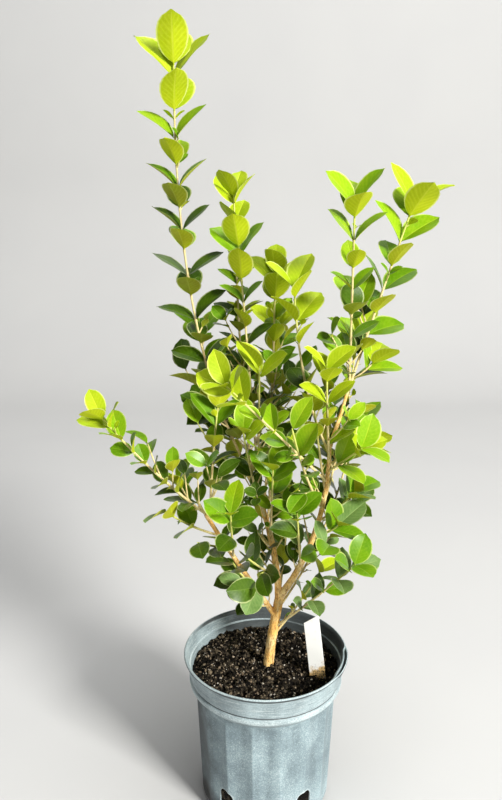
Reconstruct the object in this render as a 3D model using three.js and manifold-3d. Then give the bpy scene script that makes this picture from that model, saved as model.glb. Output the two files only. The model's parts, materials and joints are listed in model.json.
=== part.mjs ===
// A young star cherry shrub in a ribbed nursery pot, with a blank plant label in its soil.
// Millimetres, +Z up, the plant's front towards -Y. The origin is the middle of the pot's flat underside.
import * as THREE from "three";
import { mergeVertices } from "three/addons/utils/BufferGeometryUtils.js";
import Module from "manifold-3d";

const wasm = await Module();
wasm.setup();

const { lerp, clamp, smoothstep, degToRad } = THREE.MathUtils;
const UP = new THREE.Vector3(0, 0, 1);
const FRONT = new THREE.Vector3(0, -1, 0);
const BACKWARD = new THREE.Vector3(0, 1, 0);

// Clearance between two pieces that meet, and the room a leaf keeps from other pieces
const GAP = 0.3;
const LEAF_ROOM = 0.6;

// Pot: a moulded gallon pot whose wall is pressed into upright flutes between a bevelled foot and a shoulder ring
const POT = {
  height: 165,
  rimRadius: 82.5,
  flareRadius: 80.8,
  grooveRadius: 75.9,
  shoulderRadius: 77.2,
  neckRadius: 71.2,
  standRadius: 60.5, // of the flat underside
  bevelHeight: 8,
  footRadius: 66, // of the wall's line, carried down to the ground
  lipHeight: 160.5,
  grooveHeight: 138.5,
  shoulderHeight: 136,
  neckHeight: 127,
  fluteTop: 119,
  fluteFoot: 14,
  flutes: 16,
  fluteDepth: 1.3,
  fluteTurn: 0.5,
  wall: 1.6,
  floor: 3,
  segments: 64,
};

// Drain openings round the foot of the pot's wall
const DRAIN = { count: 5, width: 17, bottom: 10, top: 40, firstTurn: degToRad(-37), depth: 16 };

// Soil: fills the pot to a little below the rim, level where the trunk stands
const SOIL = { level: 145, edgeDrop: 2.5, lump: 1.5, levelRadius: 14, rings: [56, 32, 14], segments: 28 };

// Plant label: a thin blank tag pushed into the soil, leaning back and to the left
const LABEL = {
  width: 16,
  length: 84,
  thickness: 0.9,
  corner: 2,
  buried: 22,
  foot: new THREE.Vector3(52, -19, SOIL.level),
  leanLeft: degToRad(9),
  leanBack: degToRad(8),
  turn: degToRad(-14),
};

// Leaves: opposite pairs, each pair turned a quarter against the one below
const LEAF = {
  length: 36,
  width: 0.7, // of the length
  thickness: 0.9,
  ringAt: [0, 0.38, 0.72, 1], // share of the length at the root, two rings and the tip
  ringWidth: [0, 0.97, 0.88, 0], // share of the full width there
  fold: 0.12, // rise of the edge over the midrib, of the half width
  droop: 0.1, // fall of the tip, of the length
  clearFrom: 0.62, // the blade past this share keeps clear of its own shoot's leaves
};

// Growth rule of a leafy shoot
const GROWTH = {
  bud: 2.5, // stem left above the top leaf pair
  firstInternode: 9,
  internode: 20,
  internodeJitter: 0.18,
  tipSpread: degToRad(40),
  oldSpread: degToRad(60),
  spreadJitter: degToRad(8),
  ageSpan: 220, // distance from the tip at which a leaf is fully spread
  ageCurve: 0.9,
  lowAge: 0.5, // added to the age of leaves low in the crown
  lowHeight: [280, 430],
  turnJitter: degToRad(12),
  twistJitter: degToRad(20),
  tipPairs: 3, // pairs of the newest flush, which have the largest leaves
  tipSize: [1, 1.14],
  oldSize: [0.7, 0.96],
  facingUp: [0.4, 0.9], // pull of a young and an old blade's face towards the sky
  facingFront: [0.55, 0.25], // and towards the front, where the light comes from
  lift: 0.1, // pull of a blade's tip towards the sky
  twigAge: 95, // distance from the tip of the first twig
  twigChance: 0.1,
  twigLength: [20, 40],
  twigSpread: degToRad(44),
  twigInternode: 15,
  twigLeaf: 0.78, // leaf size on a twig, of the shoot's
};

// Stem thickness of shoots and twigs: radius at the foot and the tip, and the sides of the section
const STEM = { foot: 1.7, tip: 0.8, sides: 3, stepLength: 46 };
const TWIG = { foot: 0.8, tip: 0.6, sides: 3, steps: 2 };

// Woody limbs. Each grows from a place on its parent, by a bend, to its tip.
// The bend is given as the share of the way out and the share of the climb made by then.
const LIMBS = [
  { name: "trunk", foot: [3, 0, SOIL.level + GAP], tip: [14, 0, 224], bend: [0.3, 0.5],
    radius: [5.3, 4.9], flare: 0.5, sides: 12, steps: 8 },
  { name: "left_bough", parent: "trunk", at: 0.72, tip: [-58, -20, 322], bend: [0.5, 0.47],
    radius: [2.9, 2], sides: 8, steps: 5 },
  { name: "middle_bough", parent: "trunk", at: 0.93, tip: [-15, 25, 344], bend: [0.05, 0.5],
    radius: [3.5, 2.2], sides: 9, steps: 6 },
  { name: "right_bough", parent: "trunk", at: 1, tip: [57, -20, 388], bend: [1.02, 0.46],
    radius: [4.7, 2.4], sides: 10, steps: 8 },
  { name: "upper_right_bough", parent: "right_bough", at: 1, tip: [75, -5, 442], bend: [0.55, 0.45],
    radius: [2.3, 1.6], sides: 7, steps: 3 },
];

// Leafy shoots, one mass of foliage each: where it leaves its limb, where its top leaf pair stands,
// the bend on the way as for limbs, the bare share of its stem, the turn of its top leaf pair
// and, where they differ from the rule, the size of its leaves and the spacing of its newest pairs.
const SHOOTS = [
  { name: "leader", limb: "middle_bough", at: 1, tip: [-81, 25, 719], bend: [1.1, 0.36],
    bare: 0.24, facing: 90, leaf: 1.24, internode: 26 },
  { name: "left_arm", limb: "left_bough", at: 1, tip: [-145, -45, 423], bend: [0.55, 0.45],
    bare: 0.1, facing: 80, leaf: 0.82, internode: 16 },
  { name: "left_upright", limb: "left_bough", at: 0.93, tip: [-44, -5, 432], bend: [0.2, 0.5],
    bare: 0.12, facing: 10 },
  { name: "left_spire", limb: "middle_bough", at: 0.93, tip: [-31, 60, 611], bend: [0.75, 0.3],
    bare: 0.16, facing: 70, leaf: 0.86, internode: 17 },
  { name: "middle_spire", limb: "middle_bough", at: 0.72, tip: [8, 42, 540], bend: [0.9, 0.34],
    bare: 0.2, facing: 88 },
  { name: "centre_spire", limb: "right_bough", at: 0.96, tip: [24, 5, 530], bend: [0.85, 0.36],
    bare: 0.14, facing: 35 },
  { name: "right_inner_spire", limb: "upper_right_bough", at: 1, tip: [71, -30, 601], bend: [0.4, 0.5],
    bare: 0.08, facing: 4 },
  { name: "right_outer_spire", limb: "upper_right_bough", at: 0.8, tip: [129, 16, 601], bend: [0.42, 0.44],
    bare: 0.08, facing: 10, leaf: 1.16 },
  { name: "front_shoot", limb: "right_bough", at: 0.8, tip: [-36, -85, 462], bend: [0.5, 0.5],
    bare: 0.24, facing: 60, leaf: 0.88 },
  { name: "right_side", limb: "right_bough", at: 0.86, tip: [84, -42, 394], bend: [0.5, 0.5],
    bare: 0.2, facing: 120, leaf: 0.84 },
  { name: "right_middle", limb: "right_bough", at: 0.56, tip: [84, -12, 342], bend: [0.6, 0.42],
    bare: 0.2, facing: 40, leaf: 0.84 },
  { name: "rear_right_low", limb: "trunk", at: 0.8, tip: [88, 40, 388], bend: [0.75, 0.38],
    bare: 0.32, facing: 30 },
  { name: "low_right", limb: "trunk", at: 0.55, tip: [80, -55, 288], bend: [0.55, 0.5],
    bare: 0.34, facing: 100, leaf: 0.84 },
  { name: "centre_front", limb: "middle_bough", at: 0.52, tip: [5, -35, 372], bend: [0.6, 0.4],
    bare: 0.24, facing: 60, leaf: 0.88 },
  { name: "rear_left", limb: "middle_bough", at: 0.82, tip: [-68, 105, 470], bend: [0.7, 0.36],
    bare: 0.2, facing: 20 },
  { name: "rear", limb: "middle_bough", at: 0.6, tip: [12, 112, 482], bend: [0.75, 0.36],
    bare: 0.24, facing: 95 },
  { name: "rear_right", limb: "right_bough", at: 0.62, tip: [92, 72, 476], bend: [0.7, 0.36],
    bare: 0.22, facing: 50 },
  { name: "inner_front", limb: "right_bough", at: 0.64, tip: [20, -60, 418], bend: [0.6, 0.4],
    bare: 0.24, facing: 15, leaf: 0.88 },
  { name: "inner_right", limb: "right_bough", at: 0.74, tip: [42, -24, 424], bend: [0.5, 0.4],
    bare: 0.2, facing: 80, leaf: 0.84 },
  { name: "left_low", limb: "left_bough", at: 0.8, tip: [-94, -32, 330], bend: [0.6, 0.4],
    bare: 0.16, facing: 60, leaf: 0.8 },
  { name: "left_front_low", limb: "left_bough", at: 0.6, tip: [-33, -52, 336], bend: [0.6, 0.42],
    bare: 0.26, facing: 70, leaf: 0.84 },
  { name: "left_low_twig", limb: "left_bough", at: 0.34, tip: [-32, -28, 276], bend: [0.6, 0.4],
    bare: 0.2, facing: 30, leaf: 0.84 },
  { name: "middle_low_twig", limb: "middle_bough", at: 0.3, tip: [-6, -32, 266], bend: [0.6, 0.4],
    bare: 0.24, facing: 80, leaf: 0.8 },
  { name: "rear_left_low", limb: "middle_bough", at: 0.42, tip: [-46, 62, 330], bend: [0.65, 0.4],
    bare: 0.28, facing: 40, leaf: 0.86 },
  { name: "rear_low", limb: "trunk", at: 0.9, tip: [26, 70, 298], bend: [0.6, 0.42],
    bare: 0.3, facing: 75, leaf: 0.86 },
  { name: "right_low_twig", limb: "right_bough", at: 0.36, tip: [58, -44, 302], bend: [0.6, 0.4],
    bare: 0.26, facing: 55, leaf: 0.84 },
  { name: "upper_inner", limb: "right_bough", at: 0.92, tip: [50, -44, 466], bend: [0.6, 0.4],
    bare: 0.14, facing: 9, leaf: 0.84 },
  { name: "top_inner", limb: "middle_bough", at: 0.86, tip: [-7, -4, 460], bend: [0.7, 0.4],
    bare: 0.18, facing: 50 },
  { name: "left_mid", limb: "left_bough", at: 0.97, tip: [-80, 4, 352], bend: [0.55, 0.45],
    bare: 0.12, facing: 20, leaf: 0.84 },
  { name: "left_outer_low", limb: "left_bough", at: 0.68, tip: [-64, -48, 306], bend: [0.6, 0.55],
    bare: 0.2, facing: 110, leaf: 0.88 },
  { name: "left_hanging", limb: "left_bough", at: 0.3, tip: [-8, -34, 252], bend: [0.5, 0.9],
    bare: 0.3, facing: 0, leaf: 0.88 },
  { name: "low_centre", limb: "middle_bough", at: 0.2, tip: [-26, -40, 294], bend: [0.6, 0.5],
    bare: 0.3, facing: 40, leaf: 0.84 },
  { name: "right_low_outer", limb: "right_bough", at: 0.45, tip: [67, -32, 316], bend: [0.6, 0.45],
    bare: 0.26, facing: 60, leaf: 0.84 },
  { name: "far_right", limb: "right_bough", at: 0.9, tip: [92, -4, 384], bend: [0.6, 0.6],
    bare: 0.24, facing: 70, leaf: 0.78 },
  { name: "low_front_right", limb: "trunk", at: 0.42, tip: [54, 4, 250], bend: [0.6, 0.5],
    bare: 0.4, facing: 30, leaf: 0.8 },
  { name: "inner_low", limb: "right_bough", at: 0.26, tip: [27, -42, 332], bend: [0.5, 0.4],
    bare: 0.3, facing: 20, leaf: 0.84 },
  { name: "inner_middle", limb: "middle_bough", at: 0.66, tip: [-22, -24, 404], bend: [0.6, 0.4],
    bare: 0.24, facing: 70, leaf: 0.84 },
  { name: "left_inner_spire", limb: "middle_bough", at: 0.8, tip: [-26, 26, 566], bend: [0.4, 0.4],
    bare: 0.3, facing: 84, leaf: 0.96 },
];

const FIRST_SEED = 11;

const MATERIALS = {
  pot: new THREE.MeshStandardMaterial({ color: 0x77858c, roughness: 0.6 }),
  soil: new THREE.MeshStandardMaterial({ color: 0x2b221b, roughness: 0.95 }),
  label: new THREE.MeshStandardMaterial({ color: 0xf2f1ec, roughness: 0.5 }),
  bark: new THREE.MeshStandardMaterial({ color: 0xb0824f, roughness: 0.8 }),
  foliage: new THREE.MeshStandardMaterial({ color: 0x7aa51e, roughness: 0.45 }),
};

// Seeded numbers from 0 to 1: the same seed always gives the same plant.
function seeded(seed) {
  let state = seed >>> 0;
  return () => {
    state = (state + 0x6d2b79f5) >>> 0;
    let mixed = Math.imul(state ^ (state >>> 15), state | 1);
    mixed ^= mixed + Math.imul(mixed ^ (mixed >>> 7), mixed | 61);
    return ((mixed ^ (mixed >>> 14)) >>> 0) / 4294967296;
  };
}

// A closed three.js geometry as a solid that can be joined and cut.
function solidOf(geometry, weld = 1e-4) {
  const bare = geometry.clone();
  bare.deleteAttribute("normal");
  bare.deleteAttribute("uv");
  const merged = mergeVertices(bare, weld);
  const corners = merged.index.array;
  const triangles = [];
  for (let i = 0; i < corners.length; i += 3) {
    const [a, b, c] = corners.subarray(i, i + 3);
    if (a !== b && b !== c && c !== a) triangles.push(a, b, c);
  }
  return new wasm.Manifold(new wasm.Mesh({
    numProp: 3,
    vertProperties: new Float32Array(merged.attributes.position.array),
    triVerts: new Uint32Array(triangles),
  }));
}

// The largest body of a solid, its slivers welded: loose scraps and sealed hollows are left out.
function mainBody(solid) {
  const largest = (whole) => whole.decompose().reduce((a, b) => (b.volume() > a.volume() ? b : a));
  return largest(solidOf(geometryOf(largest(solid)), 1e-3));
}

// A solid as a three.js geometry.
function geometryOf(solid) {
  const { vertProperties, triVerts } = solid.getMesh();
  const geometry = new THREE.BufferGeometry();
  geometry.setAttribute("position", new THREE.BufferAttribute(new Float32Array(vertProperties), 3));
  geometry.setIndex(new THREE.BufferAttribute(new Uint32Array(triVerts), 1));
  geometry.computeVertexNormals();
  return geometry;
}

// Moves every vertex of a geometry to the place that a function gives for it.
function reshape(geometry, placeOf) {
  const position = geometry.attributes.position;
  const vertex = new THREE.Vector3();
  for (let i = 0; i < position.count; i++) {
    vertex.fromBufferAttribute(position, i);
    const place = placeOf(vertex);
    position.setXYZ(i, place.x, place.y, place.z);
  }
  return geometry;
}

// A profile of [radius, height] points turned about the Z axis.
function turned(profile, segments) {
  const points = profile.map(([radius, height]) => new THREE.Vector2(radius, height));
  return new THREE.LatheGeometry(points, segments).rotateX(Math.PI / 2);
}

// Radius of the pot's plain outer wall at a height.
function wallRadius(height) {
  return lerp(POT.footRadius, POT.neckRadius, height / POT.neckHeight);
}

// Depth to which the wall is pressed in: a hollow flute between two ridges, fading out at both ends.
function fluteSink(angle, height) {
  const wave = Math.abs(Math.sin(Math.PI * ((angle / (2 * Math.PI)) * POT.flutes + POT.fluteTurn)));
  const low = smoothstep(height, POT.bevelHeight, POT.fluteFoot);
  const high = 1 - smoothstep(height, POT.fluteTop, POT.neckHeight);
  return POT.fluteDepth * wave * low * high;
}

// The pot's wall from foot to lip, as [outer radius, height] points.
function potWall() {
  return [
    [wallRadius(POT.bevelHeight), POT.bevelHeight],
    [wallRadius(POT.fluteFoot), POT.fluteFoot],
    [wallRadius(POT.fluteTop), POT.fluteTop],
    [POT.neckRadius, POT.neckHeight],
    [POT.shoulderRadius, POT.shoulderHeight],
    [POT.grooveRadius, POT.grooveHeight],
    [POT.flareRadius, POT.lipHeight],
  ];
}

// The pot's inner face from floor to lip, which follows the bevel and the flutes but not the groove.
function potLining() {
  const inset = POT.wall;
  return [
    [POT.standRadius, POT.floor],
    [wallRadius(POT.bevelHeight) - inset, POT.bevelHeight + 1],
    [wallRadius(POT.fluteFoot) - inset, POT.fluteFoot],
    [wallRadius(POT.fluteTop) - inset, POT.fluteTop],
    [POT.neckRadius - inset, POT.neckHeight],
    [POT.grooveRadius - inset, POT.grooveHeight],
    [POT.flareRadius - inset, POT.height],
  ];
}

function drainOpening(index) {
  const { width, bottom, top, depth, firstTurn, count } = DRAIN;
  const arch = new THREE.Shape();
  arch.moveTo(-width / 2, bottom);
  arch.lineTo(width / 2, bottom);
  arch.lineTo(width / 2, top - width / 2);
  arch.absarc(0, top - width / 2, width / 2, 0, Math.PI, false);
  const block = new THREE.ExtrudeGeometry(arch, { depth, bevelEnabled: false, curveSegments: 5 });
  block.rotateX(Math.PI / 2).translate(0, -POT.footRadius + depth / 2, 0);
  return solidOf(block.rotateZ(firstTurn + (2 * Math.PI * index) / count));
}

function potSolid() {
  const wall = potWall();
  const profile = [
    [0, 0],
    [POT.standRadius, 0],
    ...wall,
    [POT.rimRadius, POT.lipHeight + 1],
    [POT.rimRadius, POT.height],
    ...potLining().reverse(),
    [0, POT.floor],
  ];
  const shell = reshape(turned(profile, POT.segments), (p) => {
    const radius = Math.hypot(p.x, p.y);
    if (radius < POT.footRadius / 2) return p;
    const kept = 1 - fluteSink(Math.atan2(p.y, p.x), p.z) / radius;
    return new THREE.Vector3(p.x * kept, p.y * kept, p.z);
  });
  let pot = solidOf(shell);
  for (let i = 0; i < DRAIN.count; i++) pot = pot.subtract(drainOpening(i));
  return mainBody(pot);
}

// Height of the soil's top: lumpy, but level round the trunk's foot.
function soilTop(x, y) {
  const radius = Math.hypot(x, y);
  const lumps = Math.sin(0.13 * x + 1.2) * Math.cos(0.11 * y) + 0.6 * Math.sin(0.31 * x - 0.27 * y);
  const away = smoothstep(radius, SOIL.levelRadius, 2 * SOIL.levelRadius);
  const edge = smoothstep(radius, POT.neckRadius - 12, POT.neckRadius);
  return SOIL.level + SOIL.lump * lumps * away - SOIL.edgeDrop * edge;
}

function soilSolid() {
  const inset = POT.wall + POT.fluteDepth + GAP;
  const foot = POT.floor + GAP;
  const edge = SOIL.level - 1;
  const profile = [
    [0, foot],
    [POT.standRadius - inset, foot],
    [wallRadius(POT.fluteFoot) - inset, POT.fluteFoot],
    [POT.neckRadius - inset, POT.neckHeight],
    [POT.grooveRadius - inset, POT.grooveHeight],
    [POT.grooveRadius - inset + 1, edge],
    ...SOIL.rings.map((radius) => [radius, SOIL.level]),
    [0, SOIL.level],
  ];
  const body = reshape(turned(profile, SOIL.segments), (p) =>
    p.z < edge - 0.5 ? p : new THREE.Vector3(p.x, p.y, soilTop(p.x, p.y)));
  return solidOf(body).subtract(labelSolid(GAP));
}

// The label's outline, standing upright with its foot below the soil.
function labelGeometry(grow) {
  const half = LABEL.width / 2 + grow;
  const low = -LABEL.buried - grow;
  const high = LABEL.length - LABEL.buried + grow;
  const round = LABEL.corner;
  const outline = new THREE.Shape();
  outline.moveTo(-half + round, low);
  outline.lineTo(half - round, low);
  outline.absarc(half - round, low + round, round, -Math.PI / 2, 0, false);
  outline.lineTo(half, high - round);
  outline.absarc(half - round, high - round, round, 0, Math.PI / 2, false);
  outline.lineTo(-half + round, high);
  outline.absarc(-half + round, high - round, round, Math.PI / 2, Math.PI, false);
  outline.lineTo(-half, low + round);
  outline.absarc(-half + round, low + round, round, Math.PI, 1.5 * Math.PI, false);
  const depth = LABEL.thickness + 2 * grow;
  const tag = new THREE.ExtrudeGeometry(outline, { depth, bevelEnabled: false, curveSegments: 2 });
  return tag.translate(0, 0, -depth / 2).rotateX(Math.PI / 2);
}

function labelMesh() {
  const mesh = new THREE.Mesh(labelGeometry(0), MATERIALS.label);
  mesh.name = "plant_label";
  mesh.position.copy(LABEL.foot);
  mesh.rotation.set(-LABEL.leanBack, -LABEL.leanLeft, LABEL.turn, "ZYX");
  mesh.updateMatrix();
  return mesh;
}

function labelSolid(grow) {
  return solidOf(labelGeometry(grow).applyMatrix4(labelMesh().matrix));
}

// A curve from a start to a tip that has gone so far out and up at its bend.
function bentCurve(start, tip, [out, climb]) {
  const bend = new THREE.Vector3(
    lerp(start.x, tip.x, out),
    lerp(start.y, tip.y, out),
    lerp(start.z, tip.z, climb),
  );
  return new THREE.QuadraticBezierCurve3(start, bend, tip);
}

// A tapering limb: a closed cylinder whose rings are carried along a curve.
// grow thickens and lengthens it, to cut what meets it.
function taperedLimb(curve, radiusAt, sides, steps, grow = 0) {
  const cylinder = new THREE.CylinderGeometry(1, 1, 1, sides, steps);
  return solidOf(reshape(cylinder, (p) => {
    const along = p.y + 0.5;
    const tangent = curve.getTangentAt(along);
    const side = new THREE.Vector3().crossVectors(tangent, BACKWARD).normalize();
    const other = new THREE.Vector3().crossVectors(side, tangent);
    const radius = radiusAt(along) + grow;
    return curve.getPointAt(along)
      .addScaledVector(tangent, 2 * p.y * grow)
      .addScaledVector(side, p.x * radius)
      .addScaledVector(other, p.z * radius);
  }));
}

// Grows the woody limbs in order, each cut clear of the limbs before it.
function growLimbs() {
  const grown = new Map();
  for (const limb of LIMBS) {
    const parent = grown.get(limb.parent);
    const start = parent ? parent.curve.getPointAt(limb.at) : new THREE.Vector3(...limb.foot);
    const curve = bentCurve(start, new THREE.Vector3(...limb.tip), limb.bend);
    const [foot, tip] = limb.radius;
    const flare = limb.flare ?? 0;
    const radiusAt = (along) => lerp(foot, tip, along) + flare * Math.exp(-along / 0.12);
    let solid = taperedLimb(curve, radiusAt, limb.sides, limb.steps);
    const cutter = taperedLimb(curve, radiusAt, limb.sides, limb.steps, GAP);
    for (const earlier of grown.values()) solid = solid.subtract(earlier.cutter);
    if (!parent) solid = levelFoot(solid);
    grown.set(limb.name, { curve, solid: mainBody(solid), cutter });
  }
  return grown;
}

// Cuts the trunk flat at ground level.
function levelFoot(solid) {
  const side = 60;
  const block = new THREE.BoxGeometry(side, side, side);
  return solid.subtract(solidOf(block.translate(0, 0, SOIL.level + GAP - side / 2)));
}

// A leaf blade: a three-sided ball of two poles and two rings, pressed into a thin keeled outline.
// from leaves out the blade's root, and room thickens and widens the rest.
function bladeSolid(leaf, from = 0, room = 0) {
  const ball = new THREE.SphereGeometry(1, 3, 3);
  const side = new THREE.Vector3().crossVectors(leaf.along, leaf.face);
  return solidOf(reshape(ball, (p) => {
    const ring = Math.round((3 * Math.acos(clamp(p.y, -1, 1))) / Math.PI);
    const share = Math.max(LEAF.ringAt[ring], from);
    const half = (LEAF.ringWidth[ring] * LEAF.width * leaf.length) / 2 + room;
    const across = half * Math.sign(Math.round(2 * p.z));
    const keel = Math.sign(Math.round(2 * p.x)) * (LEAF.thickness / 2 + room);
    const rise = LEAF.fold * Math.abs(across) - LEAF.droop * share * share * leaf.length + keel;
    return leaf.root.clone()
      .addScaledVector(leaf.along, share * leaf.length + (ring === 3 ? room : 0))
      .addScaledVector(side, across)
      .addScaledVector(leaf.face, rise);
  }));
}

// A level direction at a turn about +Z, leant until it stands square to a stem.
function outwardFrom(tangent, turn) {
  const level = new THREE.Vector3(Math.cos(turn), Math.sin(turn), 0);
  return level.addScaledVector(tangent, -level.dot(tangent)).normalize();
}

// The leaf that grows from a point on a stem: outwards at a spread, its face turned to the tip and the light.
function leafAt(root, tangent, turn, age, spread, length, twist) {
  const outward = outwardFrom(tangent, turn);
  const along = tangent.clone().multiplyScalar(Math.cos(spread))
    .addScaledVector(outward, Math.sin(spread))
    .addScaledVector(UP, GROWTH.lift)
    .normalize();
  const face = tangent.clone().multiplyScalar(Math.sin(spread))
    .addScaledVector(outward, -Math.cos(spread))
    .addScaledVector(UP, lerp(...GROWTH.facingUp, age))
    .addScaledVector(FRONT, lerp(...GROWTH.facingFront, age));
  face.addScaledVector(along, -face.dot(along)).normalize().applyAxisAngle(along, twist);
  return { root, along, face, length };
}

// The leaf pairs and twigs of one stem, from its tip down, by the seeded growth rule.
function planStem(curve, random, settings) {
  const wobble = (size) => (2 * random() - 1) * size;
  const length = curve.getLength();
  const leaves = [];
  const twigs = [];
  let turn = degToRad(settings.facing);
  let step = settings.firstStep;
  let pair = 0;
  for (let back = GROWTH.bud; back < length * (1 - settings.bare); pair++) {
    const along = 1 - back / length;
    const root = curve.getPointAt(along);
    const tangent = curve.getTangentAt(along);
    const low = 1 - smoothstep(root.z, ...GROWTH.lowHeight);
    const age = Math.min(1, (back / GROWTH.ageSpan) ** GROWTH.ageCurve + GROWTH.lowAge * low);
    const sizes = pair < GROWTH.tipPairs ? GROWTH.tipSize : GROWTH.oldSize;
    const size = LEAF.length * settings.leaf * lerp(...sizes, random());
    for (const half of [0, Math.PI]) {
      const spread = lerp(GROWTH.tipSpread, GROWTH.oldSpread, age) + wobble(GROWTH.spreadJitter);
      const leafTurn = turn + half + wobble(GROWTH.turnJitter);
      leaves.push(leafAt(root, tangent, leafTurn, age, spread, size, wobble(GROWTH.twistJitter)));
      const wanted = random() < GROWTH.twigChance;
      const reach = lerp(...GROWTH.twigLength, random());
      if (settings.twigs && wanted && back > GROWTH.twigAge) {
        twigs.push({ root, tangent, turn: leafTurn, reach, seed: Math.floor(random() * 1e6) });
      }
    }
    back += step * (1 + wobble(GROWTH.internodeJitter));
    step = pair + 1 < GROWTH.tipPairs ? settings.tipStep : settings.step;
    turn += Math.PI / 2;
  }
  return { leaves, twigs };
}

// The curve of a twig that leaves a stem beside a leaf and turns up.
function twigCurve({ root, tangent, turn, reach }) {
  const start = tangent.clone().multiplyScalar(Math.cos(GROWTH.twigSpread))
    .addScaledVector(outwardFrom(tangent, turn), Math.sin(GROWTH.twigSpread));
  const bend = root.clone().addScaledVector(start, reach / 2);
  const tip = bend.clone().addScaledVector(start.lerp(UP, 0.35).normalize(), reach / 2);
  return new THREE.QuadraticBezierCurve3(root, bend, tip);
}

// The crown: every shoot's stem stands first, then each shoot takes its twigs and leaves in turn.
// A twig or leaf that would touch a limb, another shoot or an earlier leaf is left out.
class Crown {
  constructor(limbs, obstacles) {
    this.limbs = limbs;
    this.cutters = [...limbs.values()].map((limb) => limb.cutter);
    this.taken = obstacles.map((solid) => this.claim(null, solid));
    this.shoots = SHOOTS.map((shoot, index) => this.raise(shoot, FIRST_SEED + index));
  }

  claim(owner, solid, outer = solid) {
    const { min, max } = solid.boundingBox();
    const box = new THREE.Box3(new THREE.Vector3(...min), new THREE.Vector3(...max));
    return { owner, solid, outer, box };
  }

  raise(shoot, seed) {
    const limb = this.limbs.get(shoot.limb);
    const curve = bentCurve(limb.curve.getPointAt(shoot.at), new THREE.Vector3(...shoot.tip), shoot.bend);
    const radiusAt = (along) => lerp(STEM.foot, STEM.tip, along);
    const steps = Math.max(2, Math.round(curve.getLength() / STEM.stepLength));
    let stem = taperedLimb(curve, radiusAt, STEM.sides, steps);
    for (const cutter of this.cutters) stem = stem.subtract(cutter);
    stem = mainBody(stem);
    this.cutters.push(taperedLimb(curve, radiusAt, STEM.sides, steps, GAP));
    this.taken.push(this.claim(shoot.name, stem));
    return { ...shoot, curve, seed, pieces: [stem] };
  }

  // Whether a piece would touch anything of another shoot, or the outer part of a leaf of its own.
  touches(owner, whole, outer) {
    const { box } = this.claim(owner, whole);
    return this.taken.some((other) => {
      if (!other.box.intersectsBox(box)) return false;
      if (other.owner !== owner) return !other.solid.intersect(whole).isEmpty();
      return other.outer !== other.solid && !other.outer.intersect(outer).isEmpty();
    });
  }

  addLeaf(shoot, leaf) {
    const roomy = bladeSolid(leaf, 0, LEAF_ROOM);
    const outer = bladeSolid(leaf, LEAF.clearFrom);
    if (this.touches(shoot.name, roomy, outer)) return;
    const blade = bladeSolid(leaf);
    this.taken.push(this.claim(shoot.name, blade, outer));
    shoot.pieces.push(blade);
  }

  addTwig(shoot, plan) {
    const curve = twigCurve(plan);
    const radiusAt = (along) => lerp(TWIG.foot, TWIG.tip, along);
    const roomy = taperedLimb(curve, radiusAt, TWIG.sides, TWIG.steps, LEAF_ROOM);
    if (this.touches(shoot.name, roomy, roomy)) return;
    const twig = taperedLimb(curve, radiusAt, TWIG.sides, TWIG.steps);
    this.taken.push(this.claim(shoot.name, twig));
    shoot.pieces.push(twig);
    const settings = {
      facing: THREE.MathUtils.radToDeg(plan.turn) + 90,
      bare: 0.3,
      leaf: GROWTH.twigLeaf * (shoot.leaf ?? 1),
      firstStep: GROWTH.firstInternode,
      tipStep: GROWTH.twigInternode,
      step: GROWTH.twigInternode,
      twigs: false,
    };
    for (const leaf of planStem(curve, seeded(plan.seed), settings).leaves) this.addLeaf(shoot, leaf);
  }

  dress(shoot) {
    const settings = {
      facing: shoot.facing,
      bare: shoot.bare,
      leaf: shoot.leaf ?? 1,
      firstStep: GROWTH.firstInternode,
      tipStep: shoot.internode ?? GROWTH.internode,
      step: Math.min(GROWTH.internode, shoot.internode ?? GROWTH.internode),
      twigs: true,
    };
    const { leaves, twigs } = planStem(shoot.curve, seeded(shoot.seed), settings);
    for (const leaf of leaves) this.addLeaf(shoot, leaf);
    for (const twig of twigs) this.addTwig(shoot, twig);
    return mainBody(shoot.pieces.reduce((whole, piece) => whole.add(piece)));
  }
}

function named(name, solid, material) {
  const mesh = new THREE.Mesh(geometryOf(solid), material);
  mesh.name = name;
  return mesh;
}

function pottedStarCherry() {
  const pot = potSolid();
  const soil = soilSolid();
  const label = labelMesh();
  const limbs = growLimbs();

  const container = new THREE.Group();
  container.add(named("pot", pot, MATERIALS.pot), named("soil", soil, MATERIALS.soil), label);

  const wood = new THREE.Group();
  for (const [name, { solid }] of limbs) wood.add(named(name, solid, MATERIALS.bark));

  const foliage = new THREE.Group();
  const obstacles = [pot, soil, labelSolid(0), ...[...limbs.values()].map((limb) => limb.solid)];
  const crown = new Crown(limbs, obstacles);
  for (const shoot of crown.shoots) {
    foliage.add(named(`${shoot.name}_foliage`, crown.dress(shoot), MATERIALS.foliage));
  }

  const plant = new THREE.Group();
  plant.add(container, wood, foliage);
  return plant;
}

export default pottedStarCherry();
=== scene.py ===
"""A young star cherry shrub in a ribbed nursery pot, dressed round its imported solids.

Lengths are millimetres until a mesh is made. +Z is up, the plant's front is towards -Y, and the
origin is the middle of the pot's flat underside.
"""

import json
import logging
import math
from dataclasses import dataclass, field, replace
from enum import Enum
from typing import Sequence

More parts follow.
